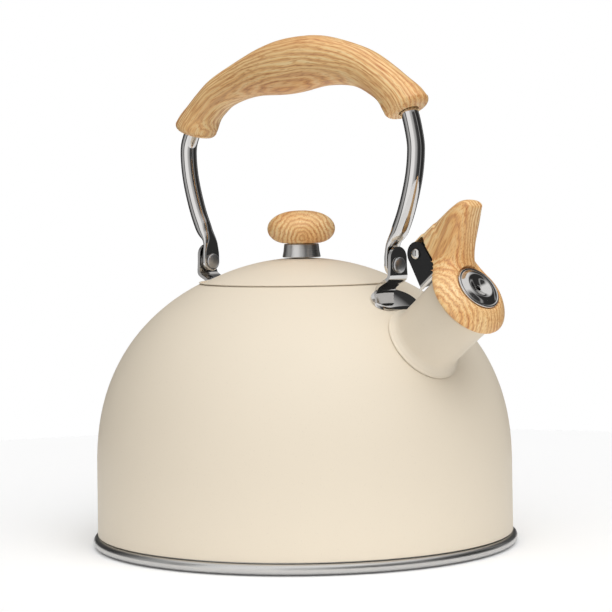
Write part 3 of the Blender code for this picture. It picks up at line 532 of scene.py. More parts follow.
def dome_radius(z, inset=0.0):
    """The dome's outer radius at a height, or that of its surface moved in by inset."""
    rise = max(z - DOME_START_Z, 0.0) / (DOME_HEIGHT - inset)
    return (BODY_RADIUS - inset) * sqrt(1.0 - rise ** DOME_POWER)


def dome_height(radius, inset=0.0):
    share = 1.0 - (radius / (BODY_RADIUS - inset)) ** 2
    return DOME_START_Z + (DOME_HEIGHT - inset) * share ** (1.0 / DOME_POWER)


def dome_line(inset, count):
    """Outline points from the foot to the lid's seam, closer together near the top."""
    top = dome_height(SEAM_RADIUS, inset)
    points = [(BODY_FOOT_RADIUS - inset, BODY_FOOT_Z)]
    for k in range(count):
        share = sin(0.5 * pi * k / (count - 1)) if k < count - 1 else 1.0
        z = DOME_START_Z + (top - DOME_START_Z) * share
        points.append((dome_radius(z, inset), z))
    return points


def spout_axis():
    """The matrix that lays a piece turned about Z along the spout's axis, from the mouth."""
    tilt = Matrix.Rotation(radians(90 - SPOUT_RISE), 4, "Y")
    return Matrix.Translation(spout_point(SPOUT_LENGTH, 0.0, 0.0)) @ tilt


def build_body(cream, satin):
    outline = rounded(dome_line(0.0, 70) + dome_line(WALL, 50)[::-1], 0.4, looped=True)
    dome = finish_mesh("body_dome", spun(outline), cream, "kettle", ["body_shell"])
    bore = SPOUT_RADIUS - SPOUT_WALL - 0.4
    reach = SPOUT_LENGTH - 85
    cut(dome, [spun([(0, -reach), (bore, -reach), (bore, -20), (0, -20)], 96, spout_axis())])
    bead = arc((RIM_RADIUS - BEAD_RADIUS, RIM_MIDDLE_Z), BEAD_RADIUS, -115, 80, 28)
    wall = BODY_FOOT_RADIUS - WALL - GAP - 0.1
    top = PAN_FLOOR_Z + WALL
    spigot = [(wall, top + 0.4), (wall, 10.0), (wall - 0.9, 10.0), (wall - 1.1, top + 0.8),
              (wall - 2.2, top)]
    pan = rounded([(0, PAN_FLOOR_Z), (104.4, PAN_FLOOR_Z)], 0.5) + bead
    pan += rounded(spigot + [(0, top)], 0.4)
    finish_mesh("base_rim", spun(pan), satin, "kettle", ["base_pan"])
    cap = [(0, 0), (CAP_RADIUS - 1.2, 0), (CAP_RADIUS, 1.2), (CAP_RADIUS, PAN_FLOOR_Z - GAP),
           (CAP_RADIUS - 1.0, PAN_FLOOR_Z - GAP), (CAP_RADIUS - 1.0, 1.7),
           (CAP_RADIUS - 1.7, 1.0), (0, 1.0)]
    finish_mesh("base_disc", spun(rounded(cap, 0.5)), satin, "kettle", ["base_cap"])


def build_neck(cream):
    hung = WALL + GAP
    radii = [57.0, 54.5, SEAM_RADIUS - 0.3]
    top = [(radius, dome_height(radius, hung) - 0.05) for radius in radii]
    ledge = top[-1][1]
    collar = [(NECK_RADIUS, ledge - 0.3), (NECK_RADIUS, NECK_BOTTOM_Z),
              (NECK_RADIUS + WALL, NECK_BOTTOM_Z), (NECK_RADIUS + WALL, ledge - 1.2)]
    under = [(radius, z - 1.0) for radius, z in top[::-1]]
    finish_mesh("lid_seat", spun(rounded(top + collar + under, 0.35, looped=True)), cream,
                "kettle", ["lid_neck"])


def lid_height(radius, inset=0.0):
    sphere = LID_SPHERE_RADIUS
    return LID_APEX_Z - inset - sphere + sqrt(sphere ** 2 - radius ** 2)


def build_lid(cream, satin):
    hole = SCREW_HOLE_RADIUS
    radii = [hole + (LID_RADIUS - 0.5 - hole) * k / 24 for k in range(25)]
    rim_low = dome_height(SEAM_RADIUS - 0.3, WALL + GAP) - 0.05 + GAP
    outside = [(radius, lid_height(radius)) for radius in radii]
    lip = dome_height(SEAM_RADIUS) + LIP_LIFT
    rim = [(LID_RADIUS - 0.1, lip + 0.5)] + arc((LID_RADIUS + 0.6, lip + 0.3), 0.3, 80, -80, 7)
    rim += [(LID_RADIUS, lip), (LID_RADIUS, rim_low), (LID_RADIUS - 1.0, rim_low)]
    inside = [(radius, lid_height(radius, LID_WALL)) for radius in radii[::-1]]
    inside[0] = (LID_RADIUS - 1.3, lid_height(LID_RADIUS - 1.3, LID_WALL))
    finish_mesh("lid_dome", spun(outside + rim + inside), cream, "lid", ["lid_shell"])
    outer = NECK_RADIUS - 0.6
    shelf = lid_height(outer - 5.0, LID_WALL) - GAP
    under = lid_height(outer, LID_WALL)
    skirt = [(outer, 126.0), (outer, under - 0.9), (outer - 5.0, shelf),
             (outer - 5.4, shelf - 0.9), (outer - 0.9, under - 1.9), (outer - 0.9, 126.0)]
    finish_mesh("lid_inner_skirt", spun(rounded(skirt, 0.35, looped=True)), satin, "lid",
                ["lid_skirt"])


def build_knob(satin, wood, steel):
    """The knob on its collar, and the screw and washer that hold them from under the lid."""
    hole = SCREW_HOLE_RADIUS
    foot_z = lid_height(0) + GAP
    collar = [(hole, foot_z), (COLLAR_FOOT_RADIUS, foot_z), (COLLAR_FOOT_RADIUS, foot_z + 0.5),
              (9.4, foot_z + 2.6), (COLLAR_TOP_RADIUS, COLLAR_TOP_Z), (hole, COLLAR_TOP_Z)]
    finish_mesh("knob_base", spun(rounded(collar, 0.3, looped=True), 96), satin, "lid",
                ["knob_collar"])

    foot = COLLAR_TOP_Z + GAP
    knob = [(0, 166.0), (hole, 166.0), (hole, foot), (KNOB_NECK_RADIUS, foot)]
    drop = KNOB_MIDDLE_Z - foot
    for k in range(1, 25):
        turn = 0.5 * pi * k / 24
        knob.append((KNOB_NECK_RADIUS + (KNOB_RADIUS - KNOB_NECK_RADIUS) * sin(turn),
                     KNOB_MIDDLE_Z - drop * cos(turn)))
    for k in range(1, 33):
        turn = 0.5 * pi * k / 32
        rise = (KNOB_TOP_Z - KNOB_MIDDLE_Z) * sin(turn)
        knob.append((KNOB_RADIUS * cos(turn) ** 0.85, KNOB_MIDDLE_Z + rise))
    finish_mesh("knob_cap", spun(rounded(knob, 0.5), 128), wood, "lid", ["lid_knob"])
    under = lid_height(hole, LID_WALL)
    head = under - 1.6 - GAP
    washer = [(hole, under - 1.6), (7.0, under - 1.6), (7.0, under - 0.6), (hole, under - 0.6)]
    finish_mesh("screw_washer", spun(rounded(washer, 0.3, looped=True), 64), steel, "lid",
                ["knob_washer"])
    screw = [(0, head - 2.3), (3.4, head - 2.3), (4.4, head - 1.3), (4.4, head), (2.2, head),
             (2.2, 165.4), (0, 165.4)]
    finish_mesh("knob_fixing", spun(rounded(screw, 0.3), 48), steel, "lid", ["knob_screw"])


# ---------------------------------------------------------------- spout


def spout_point(s, radius, angle):
    """A point at distance s along the spout's axis and out by radius, at an angle from v to w."""
    rise = radians(SPOUT_RISE)
    along = Vector((cos(rise), 0, sin(rise)))
    up = Vector((-sin(rise), 0, cos(rise)))
    out = up * cos(angle) + Vector((0, 1, 0)) * sin(angle)
    return Vector((0, 0, SPOUT_ROOT_Z)) + along * s + out * radius


def root_distance(radius, angle, lift):
    """How far along the spout's axis a line at radius and angle leaves the dome raised by lift."""
    low, high = 60.0, 135.0
    for _ in range(30):
        s = 0.5 * (low + high)
        point = spout_point(s, radius, angle)
        spread = hypot(point.x, point.y) / (BODY_RADIUS + lift)
        rise = max(point.z - DOME_START_Z, 0.0) / (DOME_HEIGHT + lift)
        if spread ** 2 + rise ** DOME_POWER < 1.0:
            low = s
        else:
            high = s
    return 0.5 * (low + high)


def build_spout(cream):
    bore = SPOUT_RADIUS - SPOUT_WALL
    flange = rounded([(bore, GAP), (FLANGE_RADIUS, GAP), (FLANGE_RADIUS, GAP + 0.75),
                      (FLANGE_RADIUS - 0.8, 1.25), (19.6, 1.6), (18.5, 2.7), (17.85, 4.4),
                      (SPOUT_RADIUS, 6.8)], 0.45)
    mouth = [(SPOUT_RADIUS, -16.0), (SPOUT_RADIUS + 0.1, -8.0), (SPOUT_RADIUS + 0.45, -3.0),
             (MOUTH_RADIUS, -0.3), (MOUTH_RADIUS - 0.3, 0.0), (MOUTH_RADIUS - SPOUT_WALL, -0.2),
             (bore + 0.45, -3.5), (bore, -9.0)]
    steps = 144
    angles = [2 * pi * k / steps for k in range(steps)]
    rings = [[spout_point(root_distance(radius, a, lift), radius, a) for a in angles]
             for radius, lift in flange]
    rings += [[spout_point(SPOUT_LENGTH + u, radius, a) for a in angles]
              for radius, u in rounded(mouth, 0.25)]
    finish_mesh("spout_tube", skinned(rings, looped=True), cream, "kettle", ["spout"])


# ---------------------------------------------------------------- handle


def handle_line(step):
    rear = [Vector((HANDLE_MIDDLE_X - out, z)) for out, z in ARM_LINE]
    front = [Vector((HANDLE_MIDDLE_X + out, z)) for out, z in ARM_LINE[::-1]]
    return smooth_line(rear + [Vector(point) for point in ARCH_LINE] + front, step)


def line_directions(line):
    ends = [line[0]] + line + [line[-1]]
    return [(after - before).normalized() for before, after in zip(ends, ends[2:])]


def section(centre, ahead, half_depth, half_width, sides, power=2.0):
    """A superellipse across the tube, in the plane square to ahead."""
    side = Vector((-ahead.y, ahead.x))
    ring = []
    for k in range(sides):
        turn = 2 * pi * (k + 0.5) / sides
        across = abs(cos(turn)) ** (2 / power) * half_depth * (1 if cos(turn) > 0 else -1)
        wide = abs(sin(turn)) ** (2 / power) * half_width * (1 if sin(turn) > 0 else -1)
        flat = centre + side * across
        ring.append(Vector((flat.x, wide, flat.y)))
    return ring


def pin_axis(side):
    """The matrix that lays a piece turned about Z on the handle's pins, outward on one side."""
    turn = Matrix.Rotation(side * pi / 2, 4, "Y")
    return Matrix.Translation(Vector((HANDLE_MIDDLE_X, 0.0, PIN_Z))) @ turn


def build_tube(steel):
    line = handle_line(1.6)
    sides = 40
    tips = []
    for side in (-1, 1):
        x = HANDLE_MIDDLE_X + side * ARM_TIP_REACH
        ends = []
        for angle in range(-87, 1, 6):
            z = PIN_Z + ARM_TIP_HALF_WIDTH * sin(radians(angle))
            half_width = ARM_TIP_HALF_WIDTH * cos(radians(angle))
            ends.append(section(Vector((x, z)), Vector((0, -side)), ARM_TIP_HALF_THICKNESS,
                                half_width, sides, 6.0))
        tips.append(ends)
    rings = tips[0]
    for centre, ahead in zip(line, line_directions(line)):
        share = smooth_share(centre.y, ARM_DEPTH_CHANGE)
        depth = ARM_TIP_HALF_THICKNESS + (TUBE_RADIUS - ARM_TIP_HALF_THICKNESS) * share
        narrow = smooth_share(centre.y, ARM_WIDTH_CHANGE)
        width = ARM_TIP_HALF_WIDTH + (TUBE_RADIUS - ARM_TIP_HALF_WIDTH) * narrow
        rings.append(section(centre, ahead, depth, width, sides, 6.0 - 4.0 * narrow))
    rings += tips[1][::-1]
    tube = finish_mesh("handle_bow", skinned(rings), steel, "handle", ["handle_tube"])
    hole = RIVET_RADIUS + GAP
    reach = ARM_TIP_REACH
    drill = [(0, reach - 6), (hole, reach - 6), (hole, reach + 6), (0, reach + 6)]
    cut(tube, [spun(drill, 48, pin_axis(side)) for side in (-1, 1)])


def grip_size(x, along, length):
    """Half depth and half width of the grip's section at x, and along from its rear end."""
    reach = GRIP_SWELL_REAR if x < GRIP_SWELL_X else GRIP_SWELL_FRONT
    swell = exp(-((x - GRIP_SWELL_X) / reach) ** 2)
    flare = exp(-(min(along, length - along) / 8.0) ** 2)
    depth = GRIP_HALF_DEPTH + GRIP_SWELL * swell + GRIP_END_FLARE * flare
    return depth, GRIP_HALF_WIDTH + GRIP_WIDTH_SWELL * swell + 0.3 * GRIP_END_FLARE * flare


def leaned(centre, ahead):
    """The middle of the grip's section, moved off the tube's centre line on the slopes."""
    side = Vector((-ahead.y, ahead.x))
    return centre + side * GRIP_LEAN * (2 * smooth_share(centre.x, (-60.0, 60.0)) - 1)


def end_facing(ahead, along, length):
    """The direction square to the grip's section, which turns towards upright near the ends."""
    from_rear = exp(-(along / 9.0) ** 2)
    from_front = exp(-((length - along) / 9.0) ** 2)
    turn = radians(GRIP_END_TURN) * (from_rear - from_front)
    return Vector((ahead.x * cos(turn) - ahead.y * sin(turn),
                   ahead.x * sin(turn) + ahead.y * cos(turn)))


def build_grip(wood):
    """The moulding, with its straightened coordinates kept as the grain attribute."""
    line = handle_line(1.6)
    ahead = line_directions(line)
    ends = [Vector(ARCH_LINE[1]), Vector(ARCH_LINE[-2])]
    first, last = [min(range(len(line)), key=lambda k, e=end: (line[k] - e).length)
                   for end in ends]
    steps = [0.0]
    for k in range(first, last):
        steps.append(steps[-1] + (line[k + 1] - line[k]).length)
    length = steps[-1]
    sides = 56
    outer, channel, grain = [], [], []
    for k, along in zip(range(first, last + 1), steps):
        depth, width = grip_size(line[k].x, along, length)
        facing = end_facing(ahead[k], along, length)
        outer.append(section(leaned(line[k], ahead[k]), facing, depth, width, sides, 2.15))
        channel.append(section(line[k], facing, CHANNEL_RADIUS, CHANNEL_RADIUS, sides))
        grain.append((along, depth, width))
    round_off = [(3.5 * sin(radians(a)), 3.6 * (1 - cos(radians(a)))) for a in range(10, 91, 10)]
    for end, back, k in ((0, -1, first), (-1, 1, last)):
        depth, width = grip_size(line[k].x, steps[end], length)
        facing = end_facing(ahead[k], steps[end], length)
        caps, marks = [], []
        for out, inset in round_off:
            centre = leaned(line[k], ahead[k]) + facing * out * back
            caps.append(section(centre, facing, depth - inset, width - inset, sides, 2.15))
            marks.append((steps[end] + out * back, depth - inset, width - inset))
        centre = line[k] + ahead[k] * 3.5 * back
        mouth = section(centre, facing, CHANNEL_RADIUS, CHANNEL_RADIUS, sides)
        if end == 0:
            outer, grain, channel = caps[::-1] + outer, marks[::-1] + grain, [mouth] + channel
        else:
            outer, grain, channel = outer + caps, grain + marks, channel + [mouth]
    rings = outer + channel[::-1]
    places = []
    inner = [(mark[0], CHANNEL_RADIUS, CHANNEL_RADIUS) for mark in grain]
    inner = [inner[0]] + inner[len(round_off):-len(round_off)] + [inner[-1]]
    for along, depth, width in grain + inner[::-1]:
        for k in range(sides):
            turn = 2 * pi * (k + 0.5) / sides
            places.append((along * MM, depth * cos(turn) * MM, width * sin(turn) * MM))
    grip = finish_mesh("handle_moulding", skinned(rings, looped=True), wood, "handle",
                       ["handle_grip"])
    attribute = grip.data.attributes.new("grain", "FLOAT_VECTOR", "POINT")
    for item, place in zip(attribute.data, places):
        item.vector = place


def bracket_sections(side):
    """The strip's control sections: its middle, its outward direction and its half width."""
    middle = TAB_INNER + TAB_THICKNESS / 2
    rings = []
    for angle in (86, 78, 70, 60, 50, 40, 30, 20, 10, 0):
        z = TAB_ROUND_Z + TAB_HALF_WIDTH * sin(radians(angle))
        rings.append((Vector((middle, z)), Vector((1, 0)), TAB_HALF_WIDTH * cos(radians(angle))))
    for inward, z, lean, width in BRACKET_BEND:
        rings.append((Vector((middle - inward, z)), Vector((1, -lean)).normalized(), width))
    return [(Vector((HANDLE_MIDDLE_X + side * c.x, c.y)), Vector((side * o.x, o.y)), width)
            for c, o, width in rings]


def build_brackets(steel):
    shares = [-1 + 2 * k / 12 for k in range(13)]
    half = TAB_THICKNESS / 2
    for label, side in (("front", 1), ("rear", -1)):
        rings = []
        for centre, out, width in bracket_sections(side):
            outside, inside = centre + out * half, centre - out * half
            ring = [Vector((outside.x, width * s, outside.y)) for s in shares]
            rings.append(ring + [Vector((inside.x, width * s, inside.y)) for s in shares[::-1]])
        start = abs(HANDLE_MIDDLE_X + side * NECK_REACH) - 0.3
        for out, width in FOOT_LINE:
            x = start + out
            inner = x if out > 0.0 else x - 0.6
            above, under = [], []
            for share in shares:
                low = dome_height(hypot(x, width * share)) + GAP
                shift = 0.9 if out == 0.0 else 0.0
                above.append(Vector((side * (x + shift), width * share, low + 1.4)))
                under.append(Vector((side * inner, width * share, low)))
            rings.append(above + under[::-1])
        piece = finish_mesh(f"{label}_handle_foot", skinned(rings), steel, "kettle",
                            [f"{label}_bracket"], 75.0)
        hole = RIVET_RADIUS + GAP
        drill = [(0, TAB_INNER - 3), (hole, TAB_INNER - 3), (hole, TAB_INNER + 6),
                 (0, TAB_INNER + 6)]
        cut(piece, [spun(drill, 48, pin_axis(side))])
        bevel(piece, 0.25, 2, 75.0)


def build_rivets(steel):
    arm_inner = ARM_TIP_REACH - ARM_TIP_HALF_THICKNESS - GAP
    tab_outer = TAB_INNER + TAB_THICKNESS + GAP
    head, shank = RIVET_HEAD_RADIUS, RIVET_RADIUS
    crown = [(head * cos(radians(a)), sin(radians(a))) for a in range(0, 91, 9)]
    low = [(radius, arm_inner - 0.5 - z) for radius, z in crown[::-1]]
    high = [(radius, tab_outer + 0.5 + z) for radius, z in crown]
    rivet = low + [(head, arm_inner), (shank, arm_inner), (shank, tab_outer), (head, tab_outer)]
    rivet += high
    bore = RIVET_RADIUS + GAP
    washer = [(bore, ARM_TIP_REACH + ARM_TIP_HALF_THICKNESS + GAP),
              (4.4, ARM_TIP_REACH + ARM_TIP_HALF_THICKNESS + GAP), (4.4, TAB_INNER - GAP),
              (bore, TAB_INNER - GAP)]
    for label, side in (("front", 1), ("rear", -1)):
        finish_mesh(f"{label}_rivet_heads", spun(rivet, 64, pin_axis(side)), steel, "kettle",
                    [f"{label}_rivet"])
        finish_mesh(f"{label}_spacer", spun(washer, 64, pin_axis(side)), steel, "kettle",
                    [f"{label}_washer"])


# ---------------------------------------------------------------- whistle lever


def mouth_frame(u, v, w):
    """A point of the mouth's frame in the row frame."""
    point = spout_point(SPOUT_LENGTH + u, v, 0.0)
    return Vector((point.x, w, point.z))


def pivot_axis():
    """The matrix that lays a piece turned about Z on the lever's pivot, along Y."""
    turn = Matrix.Rotation(pi / 2, 4, "X")
    return Matrix.Translation(mouth_frame(PIVOT_U, PIVOT_V, 0.0)) @ turn


def build_whistle_bracket(black, steel):
    outer_w = EAR_INNER_W + EAR_THICKNESS
    outline = arc((0, 0), SADDLE_RADIUS + EAR_THICKNESS, -34, 34, 33)
    outline += arc((0, 0), SADDLE_RADIUS, 34, -34, 33)
    points = [mouth_frame(0.0, v, w) for v, w in outline]
    along = mouth_frame(1.0, 0.0, 0.0) - mouth_frame(0.0, 0.0, 0.0)
    saddle = finish_mesh("hinge_bracket", extruded(points, along * -13.2, along * -0.6), black,
                         "kettle", ["whistle_bracket"])
    foot = sqrt((SADDLE_RADIUS + 0.3) ** 2 - outer_w ** 2)
    ear = arc((PIVOT_U, PIVOT_V), EAR_RADIUS, 180, 0, 25) + [(EAR_FOOT_U[1], foot),
                                                             (EAR_FOOT_U[0], foot)]
    ears = []
    for side in (-1, 1):
        low, high = sorted((side * EAR_INNER_W, side * outer_w))
        points = [mouth_frame(u, v, 0.0) for u, v in ear]
        ears.append(extruded(points, Vector((0, low, 0)), Vector((0, high, 0))))
    cut(saddle, ears, "UNION")
    cut(saddle, [spun([(0, -20), (1.8, -20), (1.8, 20), (0, 20)], 48, pivot_axis())])
    bevel(saddle, 0.22, 2, 50.0)
    end = outer_w + GAP
    head = [(0, -end - 1.3), (1.3, -end - 1.2), (2.1, -end - 0.95), (2.6, -end - 0.45),
            (2.6, -end), (1.5, -end)]
    pin = head + [(radius, -z) for radius, z in head[::-1]]
    finish_mesh("hinge_pin", spun(rounded(pin, 0.3), 64, pivot_axis()), steel, "kettle",
                ["lever_pin"])


def tail_top(u):
    """Height of the lever's upper side: an arc over the pivot, then a gentle fall to the tip."""
    if u < PIVOT_U:
        return PIVOT_V + sqrt(max(HOOD_RADIUS ** 2 - (u - PIVOT_U) ** 2, 0.0))
    share = (u - PIVOT_U) / (TAIL_TIP_U - PIVOT_U)
    fall = 0.4 * share + 2.3 * share ** 2 - 0.4 * smooth_share(share, (0.0, 0.3))
    tip = max(u - (TAIL_TIP_U - 7.0), 0.0) / 7.0
    return PIVOT_V + HOOD_RADIUS - fall - 5.2 * (1 - sqrt(max(1 - tip ** 2, 0.0)))


def tail_under(u):
    """Height of the tail's concave front side, beyond the plate's face."""
    share = (u - PLATE_FRONT_U) / (TAIL_TIP_U - PLATE_FRONT_U)
    return 6.0 + 25.0 * share ** 0.56


def rounded_half_width(v, low, high, width, power):
    middle, half = 0.5 * (low + high), 0.5 * (high - low)
    inside = 1.0 - abs((v - middle) / half) ** power
    return width * max(inside, 0.0) ** (1.0 / power)


def keyhole_half_width(v, radius, top):
    """Half width of the plate: a disc about the spout's axis that runs into the tail's width."""
    join = 0.5 * radius
    if v <= join:
        return sqrt(max(radius ** 2 - v ** 2, 0.0))
    shoulder = 26.0
    if v >= shoulder:
        return rounded_half_width(v, 10.0, top, TAIL_HALF_WIDTH, 3.2)
    span = shoulder - join
    t = (v - join) / span
    start = sqrt(radius ** 2 - join ** 2)
    slope = -join / start * span
    end = rounded_half_width(shoulder, 10.0, top, TAIL_HALF_WIDTH, 3.2)
    return ((2 * t ** 3 - 3 * t ** 2 + 1) * start + (t ** 3 - 2 * t ** 2 + t) * slope
            + (3 * t ** 2 - 2 * t ** 3) * end)


def hood_width(v, top):
    """Half width of the hood, whose upper edges are soft."""
    share = min(max((v - PIVOT_V) / max(top - PIVOT_V, 0.1), 0.0), 1.0)
    return HOOD_HALF_WIDTH * max(1.0 - share ** 5, 0.0) ** 0.2


def lever_ring(u, low, high, width_at, count=40):
    places = [low + (high - low) * 0.5 * (1 - cos(pi * k / count)) for k in range(count + 1)]
    right = [mouth_frame(u, v, max(width_at(v), 0.02)) for v in places]
    left = [mouth_frame(u, v, -max(width_at(v), 0.02)) for v in places[::-1]]
    return right + left


def lever_rings():
    """Sections along u: the hood over the pivot, the plate across the mouth, and the tail."""
    rings = []
    for angle in range(170, 92, -4):
        u = PIVOT_U + HOOD_RADIUS * cos(radians(angle))
        inner = HOOD_INNER_RADIUS ** 2 - (u - PIVOT_U) ** 2
        low = PIVOT_V + sqrt(max(inner, 0.0))
        rings.append(lever_ring(u, low, tail_top(u), lambda v, t=tail_top(u): hood_width(v, t)))
    for u in (-4.5, -3.5, -2.5, -1.5, -0.5, 0.5, PLATE_BACK_U - 0.05):
        low = PIVOT_V + HOOD_INNER_RADIUS
        rings.append(lever_ring(u, low, tail_top(u), lambda v, t=tail_top(u): hood_width(v, t)))
    for u, inset in ((PLATE_BACK_U, 0.5), (1.6, 0.15), (2.0, 0.0), (2.7, 0.15), (3.4, 0.5),
                     (4.2, 1.05), (5.1, 1.7), (6.0, 2.5), (6.8, 3.3), (7.6, 4.15), (8.4, 5.1),
                     (9.1, 6.0), (9.6, 6.8), (PLATE_FRONT_U, 8.0)):
        radius, top = PLATE_RADIUS - inset, tail_top(u)
        rings.append(lever_ring(u, -radius, top,
                                lambda v, r=radius, t=top: keyhole_half_width(v, r, t)))
    for k in range(1, 40):
        share = 0.003 + 0.987 * (k - 1) / 38
        u = PLATE_FRONT_U + (TAIL_TIP_U - PLATE_FRONT_U) * share
        low, high = tail_under(u), tail_top(u)
        narrow = 1.0 - 0.45 * (max(share - 0.4, 0.0) / 0.6) ** 2
        width = TAIL_HALF_WIDTH * narrow
        rings.append(lever_ring(u, low, high, lambda v, a=low, b=high, w=width:
                                rounded_half_width(v, a, b, w, 2.6)))
    return rings


def build_lever(wood):
    """The moulded lever: the sections are merged into one soft skin, and then bored."""
    lever = finish_mesh("lever_moulding", skinned(lever_rings()), wood, "lever",
                        ["whistle_lever"])
    merge = lever.modifiers.new("merge", "REMESH")
    merge.mode = "VOXEL"
    merge.voxel_size = 0.45 * MM
    merge.use_smooth_shade = True
    soft = lever.modifiers.new("soft", "SMOOTH")
    soft.factor = 0.5
    soft.iterations = 18
    apply_modifiers(lever)
    seat = PLATE_FRONT_U - 0.6
    bore = [(0, -4), (WHISTLE_BORE, -4), (WHISTLE_BORE, seat), (WHISTLE_SEAT, seat),
            (WHISTLE_SEAT, 24), (0, 24)]
    screw = [(0, -2), (1.3, -2), (1.3, 9.6), (0, 9.6)]
    shift = Matrix.Translation(mouth_frame(0.0, SCREW_V, 0.0) - mouth_frame(0.0, 0.0, 0.0))
    cut(lever, [spun(bore, 96, spout_axis()), spun(screw, 32, shift @ spout_axis())])
    lever.data.shade_smooth()
    lever.data.set_sharp_from_angle(angle=radians(50))


def build_whistle(bright):
    seat = PLATE_FRONT_U - 0.6 + GAP
    cup = [(9.0, 4.0), (9.0, seat), (11.8, seat), (11.8, seat + 0.9), (11.3, seat + 1.3),
           (10.4, seat + 1.1), (9.8, seat + 1.5), (8.4, seat + 2.3), (6.8, seat + 2.6),
           (5.3, seat + 2.2), (3.6, seat + 1.2), (2.2, seat + 0.7), (1.4, seat + 0.6),
           (1.4, seat - 0.2), (3.8, seat + 0.4), (6.6, seat + 1.7), (8.1, seat + 0.9),
           (8.1, 4.0)]
    finish_mesh("whistle_disc", spun(rounded(cup, 0.7, looped=True, count=6), 128, spout_axis()),
                bright, "lever", ["whistle_cup"])
    plug = MOUTH_RADIUS - SPOUT_WALL - 1.1
    back = [(1.4, -1.6), (plug - 1.0, -1.6), (plug, -0.6), (plug, GAP), (18.9, GAP),
            (18.9, 0.9), (plug - 0.9, 0.9), (plug - 0.9, -0.3), (plug - 1.3, -0.8),
            (7.7, -0.8), (7.7, 8.4), (6.8, 8.4), (6.8, -0.8), (1.4, -0.8)]
    finish_mesh("mouth_stopper", spun(rounded(back, 0.25, looped=True), 128, spout_axis()),
                bright, "lever", ["whistle_plate"])


# ---------------------------------------------------------------- stage, light and camera


def facing_directions():
    """The camera's right, up and forward directions in the row frame."""
    azimuth, pitch = radians(CAMERA_AZIMUTH), radians(CAMERA_PITCH)
    roll, pan = radians(CAMERA_ROLL), radians(CAMERA_PAN)
    level = Vector((sin(pan), cos(pan), 0))
    right = Vector((cos(pan), -sin(pan), 0))
    up = Vector((0, 0, 1))
    ahead = cos(pitch) * level - sin(pitch) * up
    raised = sin(pitch) * level + cos(pitch) * up
    spin = Matrix.Rotation(azimuth, 3, "Z")
    return (spin @ (cos(roll) * right + sin(roll) * raised),
            spin @ (cos(roll) * raised - sin(roll) * right), spin @ ahead)


def build_camera():
    right, up, ahead = facing_directions()
    data = bpy.data.cameras.new("camera")
    data.lens = CAMERA_LENS
    data.sensor_width = 36.0
    data.clip_start = 0.05
    camera = bpy.data.objects.new("camera", data)
    bpy.context.scene.collection.objects.link(camera)
    turn = Matrix((right, up, -ahead)).transposed().to_4x4()
    place = Matrix.Rotation(radians(CAMERA_AZIMUTH), 3, "Z") @ Vector((0, -CAMERA_DISTANCE,
                                                                       CAMERA_HEIGHT))
    camera.matrix_world = Matrix.Translation(place * MM) @ turn
    bpy.context.scene.camera = camera


def build_floor():
    made = Material("pale_floor", Roughness=0.7, Specular_IOR_Level=0.1, Emission_Strength=0.06)
    made.shader.inputs["Emission Color"].default_value = grey(1.0)
    tone = made.noise(made.place(), 3.0, 2.0)
    made.link(made.mix(tone, grey(0.95), grey(0.97)), "Base Color")
    bm = bmesh.new()
    bmesh.ops.create_circle(bm, cap_ends=True, segments=128, radius=FLOOR_RADIUS_M)
    mesh = bpy.data.meshes.new("floor")
    bm.to_mesh(mesh)
    bm.free()
    mesh.materials.append(made.material)
    floor = bpy.data.objects.new("floor", mesh)
    floor.location.z = FLOOR_Z_M
    bpy.context.scene.collection.objects.link(floor)


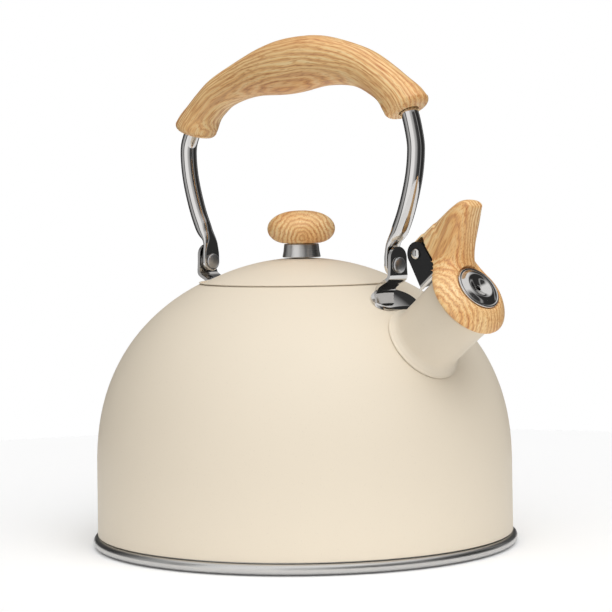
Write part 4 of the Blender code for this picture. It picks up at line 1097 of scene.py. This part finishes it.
def build_world():
    """Soft light from the front and above, a white backdrop, and a studio for reflections."""
    right, _, ahead = facing_directions()
    world = bpy.data.worlds.new("studio")
    bpy.context.scene.world = world
    world.use_nodes = True
    world.node_tree.nodes.clear()
    made = Shading(world.node_tree)
    direction = made.add("ShaderNodeTexCoord", {}).outputs["Generated"]

    def along(vector):
        return made.add("ShaderNodeVectorMath", {0: direction, 1: tuple(vector)},
                        operation="DOT_PRODUCT").outputs["Value"]

    front = Vector((-ahead.x, -ahead.y, 0.0)).normalized()
    lobe = (front + Vector((0, 0, 1.25)) + right * 0.20).normalized()
    glow = made.math("POWER", made.math("MAXIMUM", along(lobe), 0.0), GLOW_POWER)
    height = made.add("ShaderNodeSeparateXYZ", {"Vector": direction}).outputs[2]
    above = made.math("POWER", made.math("MAXIMUM", height, 0.0), OVERHEAD_POWER)
    overhead = made.math("MULTIPLY_ADD", above, OVERHEAD_STRENGTH, AMBIENT_STRENGTH)
    soft = made.math("MULTIPLY_ADD", glow, GLOW_STRENGTH, overhead)
    angle = made.math("ARCTAN2", along(right), along(front))
    share = made.math("MULTIPLY_ADD", angle, 0.5 / pi, 0.5)
    round_view = made.ramp(share, [(turn, grey(value)) for turn, value in STUDIO_PANELS])
    upward = made.ramp(height, [(0.0, grey(0.0)), (0.62, grey(0.0)), (0.80, grey(1.0)),
                                (1.0, grey(1.0))])
    studio = made.mix(upward, round_view, grey(0.85))
    studio = made.mix(1.0, studio, grey(REFLECTION_STRENGTH), "MULTIPLY")
    paths = made.add("ShaderNodeLightPath", {}).outputs
    light = made.mix(paths["Is Glossy Ray"], soft, studio)
    light = made.mix(paths["Is Camera Ray"], light, grey(1.0))
    background = made.add("ShaderNodeBackground", {"Color": light, "Strength": 1.0})
    made.add("ShaderNodeOutputWorld", {"Surface": background.outputs[0]})


def grip_grain(made):
    return made.place(attribute="grain")


def lever_grain(made):
    """The grain runs up the lever, which leans back with the spout's axis."""
    return made.place(rotation=(0.0, 58.0, 0.0))


def knob_grain(made):
    return made.place(rotation=(0.0, 0.0, 43.8), location=(0.0, 0.0, -0.158))


def main():
    bpy.context.scene.view_settings.view_transform = "Standard"
    cream = cream_material()
    satin = steel_material("satin_steel", 0.30, linear(200, 199, 197), 5200.0, 0.25, True)
    bright = steel_material("polished_steel", 0.07, linear(214, 212, 210), 900.0, 0.02, False)
    plain = steel_material("plain_steel", 0.38, linear(190, 190, 191), 1500.0, 0.15, False)
    core = steel_material("spreader_core", 0.45, linear(208, 208, 210), 1200.0, 0.2, True)
    black = black_material()
    build_body(cream, satin)
    build_neck(cream)
    build_lid(cream, satin)
    build_knob(satin, wood_material("knob_oak", knob_grain, 2.2, 1.6, rings=True), plain)
    build_spout(cream)
    build_tube(bright)
    build_grip(wood_material("grip_oak", grip_grain, 2.6, 6.0))
    build_brackets(bright)
    build_rivets(plain)
    build_whistle_bracket(black, bright)
    build_lever(wood_material("lever_oak", lever_grain, 2.5, 4.5, 0.15))
    build_whistle(bright)
    for node, material in (("heat_spreader", core), ("lever_spring", plain),
                           ("lever_screw", plain), ("lever_frame", black)):
        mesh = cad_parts[node].data
        mesh.materials.clear()
        mesh.materials.append(material)
    build_floor()
    build_world()
    build_camera()


main()
